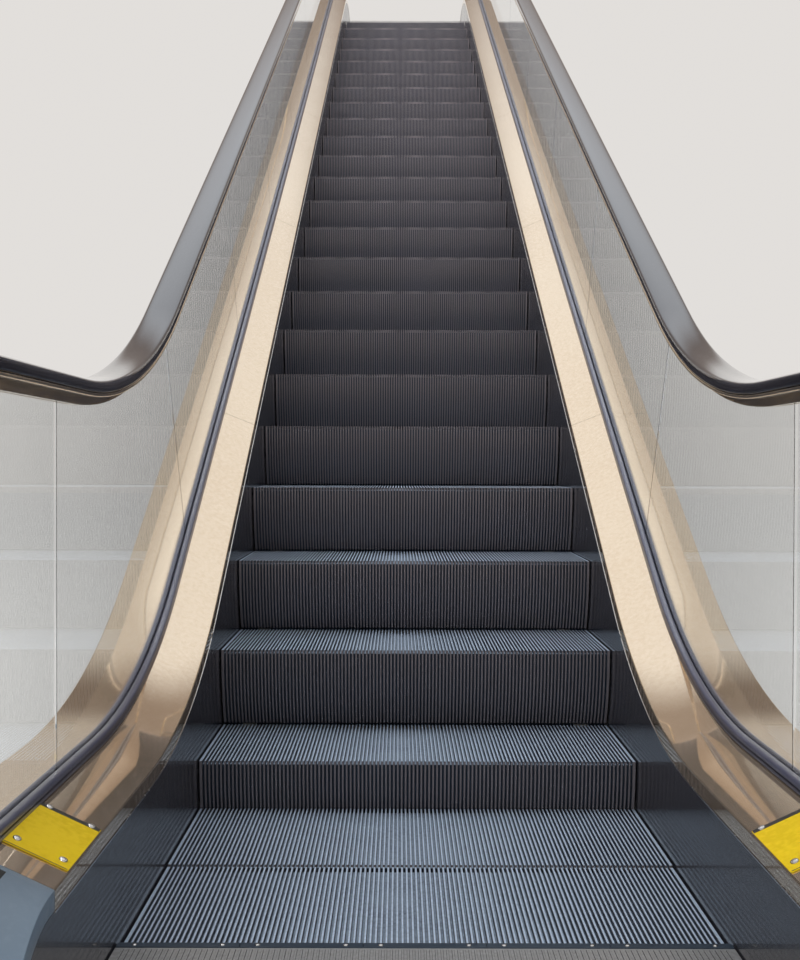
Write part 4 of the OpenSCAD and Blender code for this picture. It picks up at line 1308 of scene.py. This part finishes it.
def seen_rays(tree):
    """1 for what the camera sees, straight, mirrored or through glass, and 0 for light on the object."""
    rays = part(tree, "ShaderNodeLightPath", -800, 600).outputs
    seen = maths(tree, "MAXIMUM", rays["Is Camera Ray"], rays["Is Glossy Ray"], x=-600, y=600)
    return maths(tree, "MAXIMUM", seen, rays["Is Transmission Ray"], x=-400, y=600)


def mixed_light(tree, amount, first, second, end):
    """Leads a mix of two shaders to the end of a tree."""
    both = part(tree, "ShaderNodeMixShader", 300, 0)
    for number, output in enumerate((amount, first.outputs[0], second.outputs[0])):
        tree.links.new(output, both.inputs[number])
    tree.links.new(both.outputs[0], end.inputs["Surface"])


def plain_floor():
    """Pale floor that glows as pale as the background where it is seen, but not under the housing."""
    clear()
    bpy.ops.mesh.primitive_plane_add(size=80, location=(0, 6, -0.001))
    floor = bpy.context.object
    floor.name = "plain_floor"
    settle()
    material, tree, shader, place = smeared_finish(
        "pale_floor", (0.80, 0.80, 0.79), (0.82, 0.82, 0.81), (0.7, 0.8), 0.6, Specular_IOR_Level=0.2
    )
    glow = part(tree, "ShaderNodeEmission", 0, 300, {"Color": (*PALE, 1), "Strength": 1.0})
    point = part(tree, "ShaderNodeSeparateXYZ", -900, 900, {"Vector": place}).outputs
    across = maths(tree, "ABSOLUTE", point["X"], x=-700, y=950)
    beside = maths(tree, "GREATER_THAN", across, SIDE - 0.01, x=-500, y=950)
    before = maths(tree, "LESS_THAN", point["Y"], 0.06, x=-500, y=800)
    soffit_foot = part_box("soffit")[0][1]
    beyond = maths(tree, "GREATER_THAN", point["Y"], soffit_foot, x=-500, y=650)
    open_floor = maths(tree, "MAXIMUM", beside, before, x=-300, y=900)
    open_floor = maths(tree, "MAXIMUM", open_floor, beyond, x=-300, y=750)
    glowing = maths(tree, "MULTIPLY", seen_rays(tree), 0.72, x=-150, y=700)
    glowing = maths(tree, "MULTIPLY", glowing, open_floor, x=0, y=500)
    mixed_light(tree, glowing, shader, glow, tree.nodes["Material Output"])
    wear(floor, material)


def soft_light(name, place, aim, size, power):
    """A rectangular softbox that lights the object but isn't mirrored in it."""
    data = bpy.data.lights.new(name, "AREA")
    data.shape = "RECTANGLE"
    data.size, data.size_y = size
    data.energy = power
    lamp = bpy.data.objects.new(name, data)
    bpy.context.collection.objects.link(lamp)
    lamp.location = place
    way = [b - a for a, b in zip(place, aim)]
    lamp.rotation_euler = Vector(way).to_track_quat("-Z", "Y").to_euler()
    lamp.visible_glossy = False


def studio():
    """Soft pale surroundings that look darker half-way up, and the softboxes."""
    world = bpy.data.worlds.new("pale_studio")
    bpy.context.scene.world = world
    world.use_nodes = True
    tree = world.node_tree
    tree.nodes.clear()
    sky = part(tree, "ShaderNodeTexCoord", -1300, 200).outputs["Generated"]
    height = part(tree, "ShaderNodeSeparateXYZ", -1100, 200, {"Vector": sky}).outputs["Z"]
    half_way = share(tree, height, 0.36, 0.50, -900, 350, "SMOOTHSTEP")
    overhead = share(tree, height, 0.57, 0.76, -900, 100, "SMOOTHSTEP")
    tone = colour_mix(tree, half_way, PALE, HALF_WAY_UP, -650, 350)
    tone = colour_mix(tree, overhead, tone, OVERHEAD, -450, 200)
    pale = part(tree, "ShaderNodeBackground", -200, 100, {"Color": tone, "Strength": 1.0})
    soft = part(tree, "ShaderNodeBackground", -200, -100, {"Color": (0.95, 0.97, 1.0, 1), "Strength": 0.82})
    mixed_light(tree, seen_rays(tree), soft, pale, part(tree, "ShaderNodeOutputWorld", 500, 0))
    soft_light("ceiling_softbox", (0, 4.5, 9.5), (0, 4.5, 0), (7, 12), 420)
    soft_light("front_softbox", (-3.0, -4.5, 4.5), (0, 3.5, 1.0), (4, 4), 230)
    soft_light("flight_softbox", (-1.5, 3.5, 8.6), (0, 10.0, 4.8), (5, 4), 520)


def camera():
    """The photo's view: the frame is 960 high, and its focal length 1241 in the same measure."""
    data = bpy.data.cameras.new("photo_view")
    data.sensor_fit = "VERTICAL"
    data.sensor_height = 36
    data.lens = 1241 / 960 * 36
    data.clip_end = 100
    eye = bpy.data.objects.new("photo_view", data)
    bpy.context.collection.objects.link(eye)
    eye.location = (-0.044, -0.421, 1.079)
    eye.rotation_euler = (math.radians(90 - 0.705), math.radians(-0.146), math.radians(-0.045))
    bpy.context.scene.camera = eye


camera()
dress_plain_nodes()
build_steps()
build_balustrades()
build_landings()
build_caps()
caution_plates()
deck_screws()
plain_floor()
studio()
bpy.context.scene.view_settings.view_transform = "Standard"
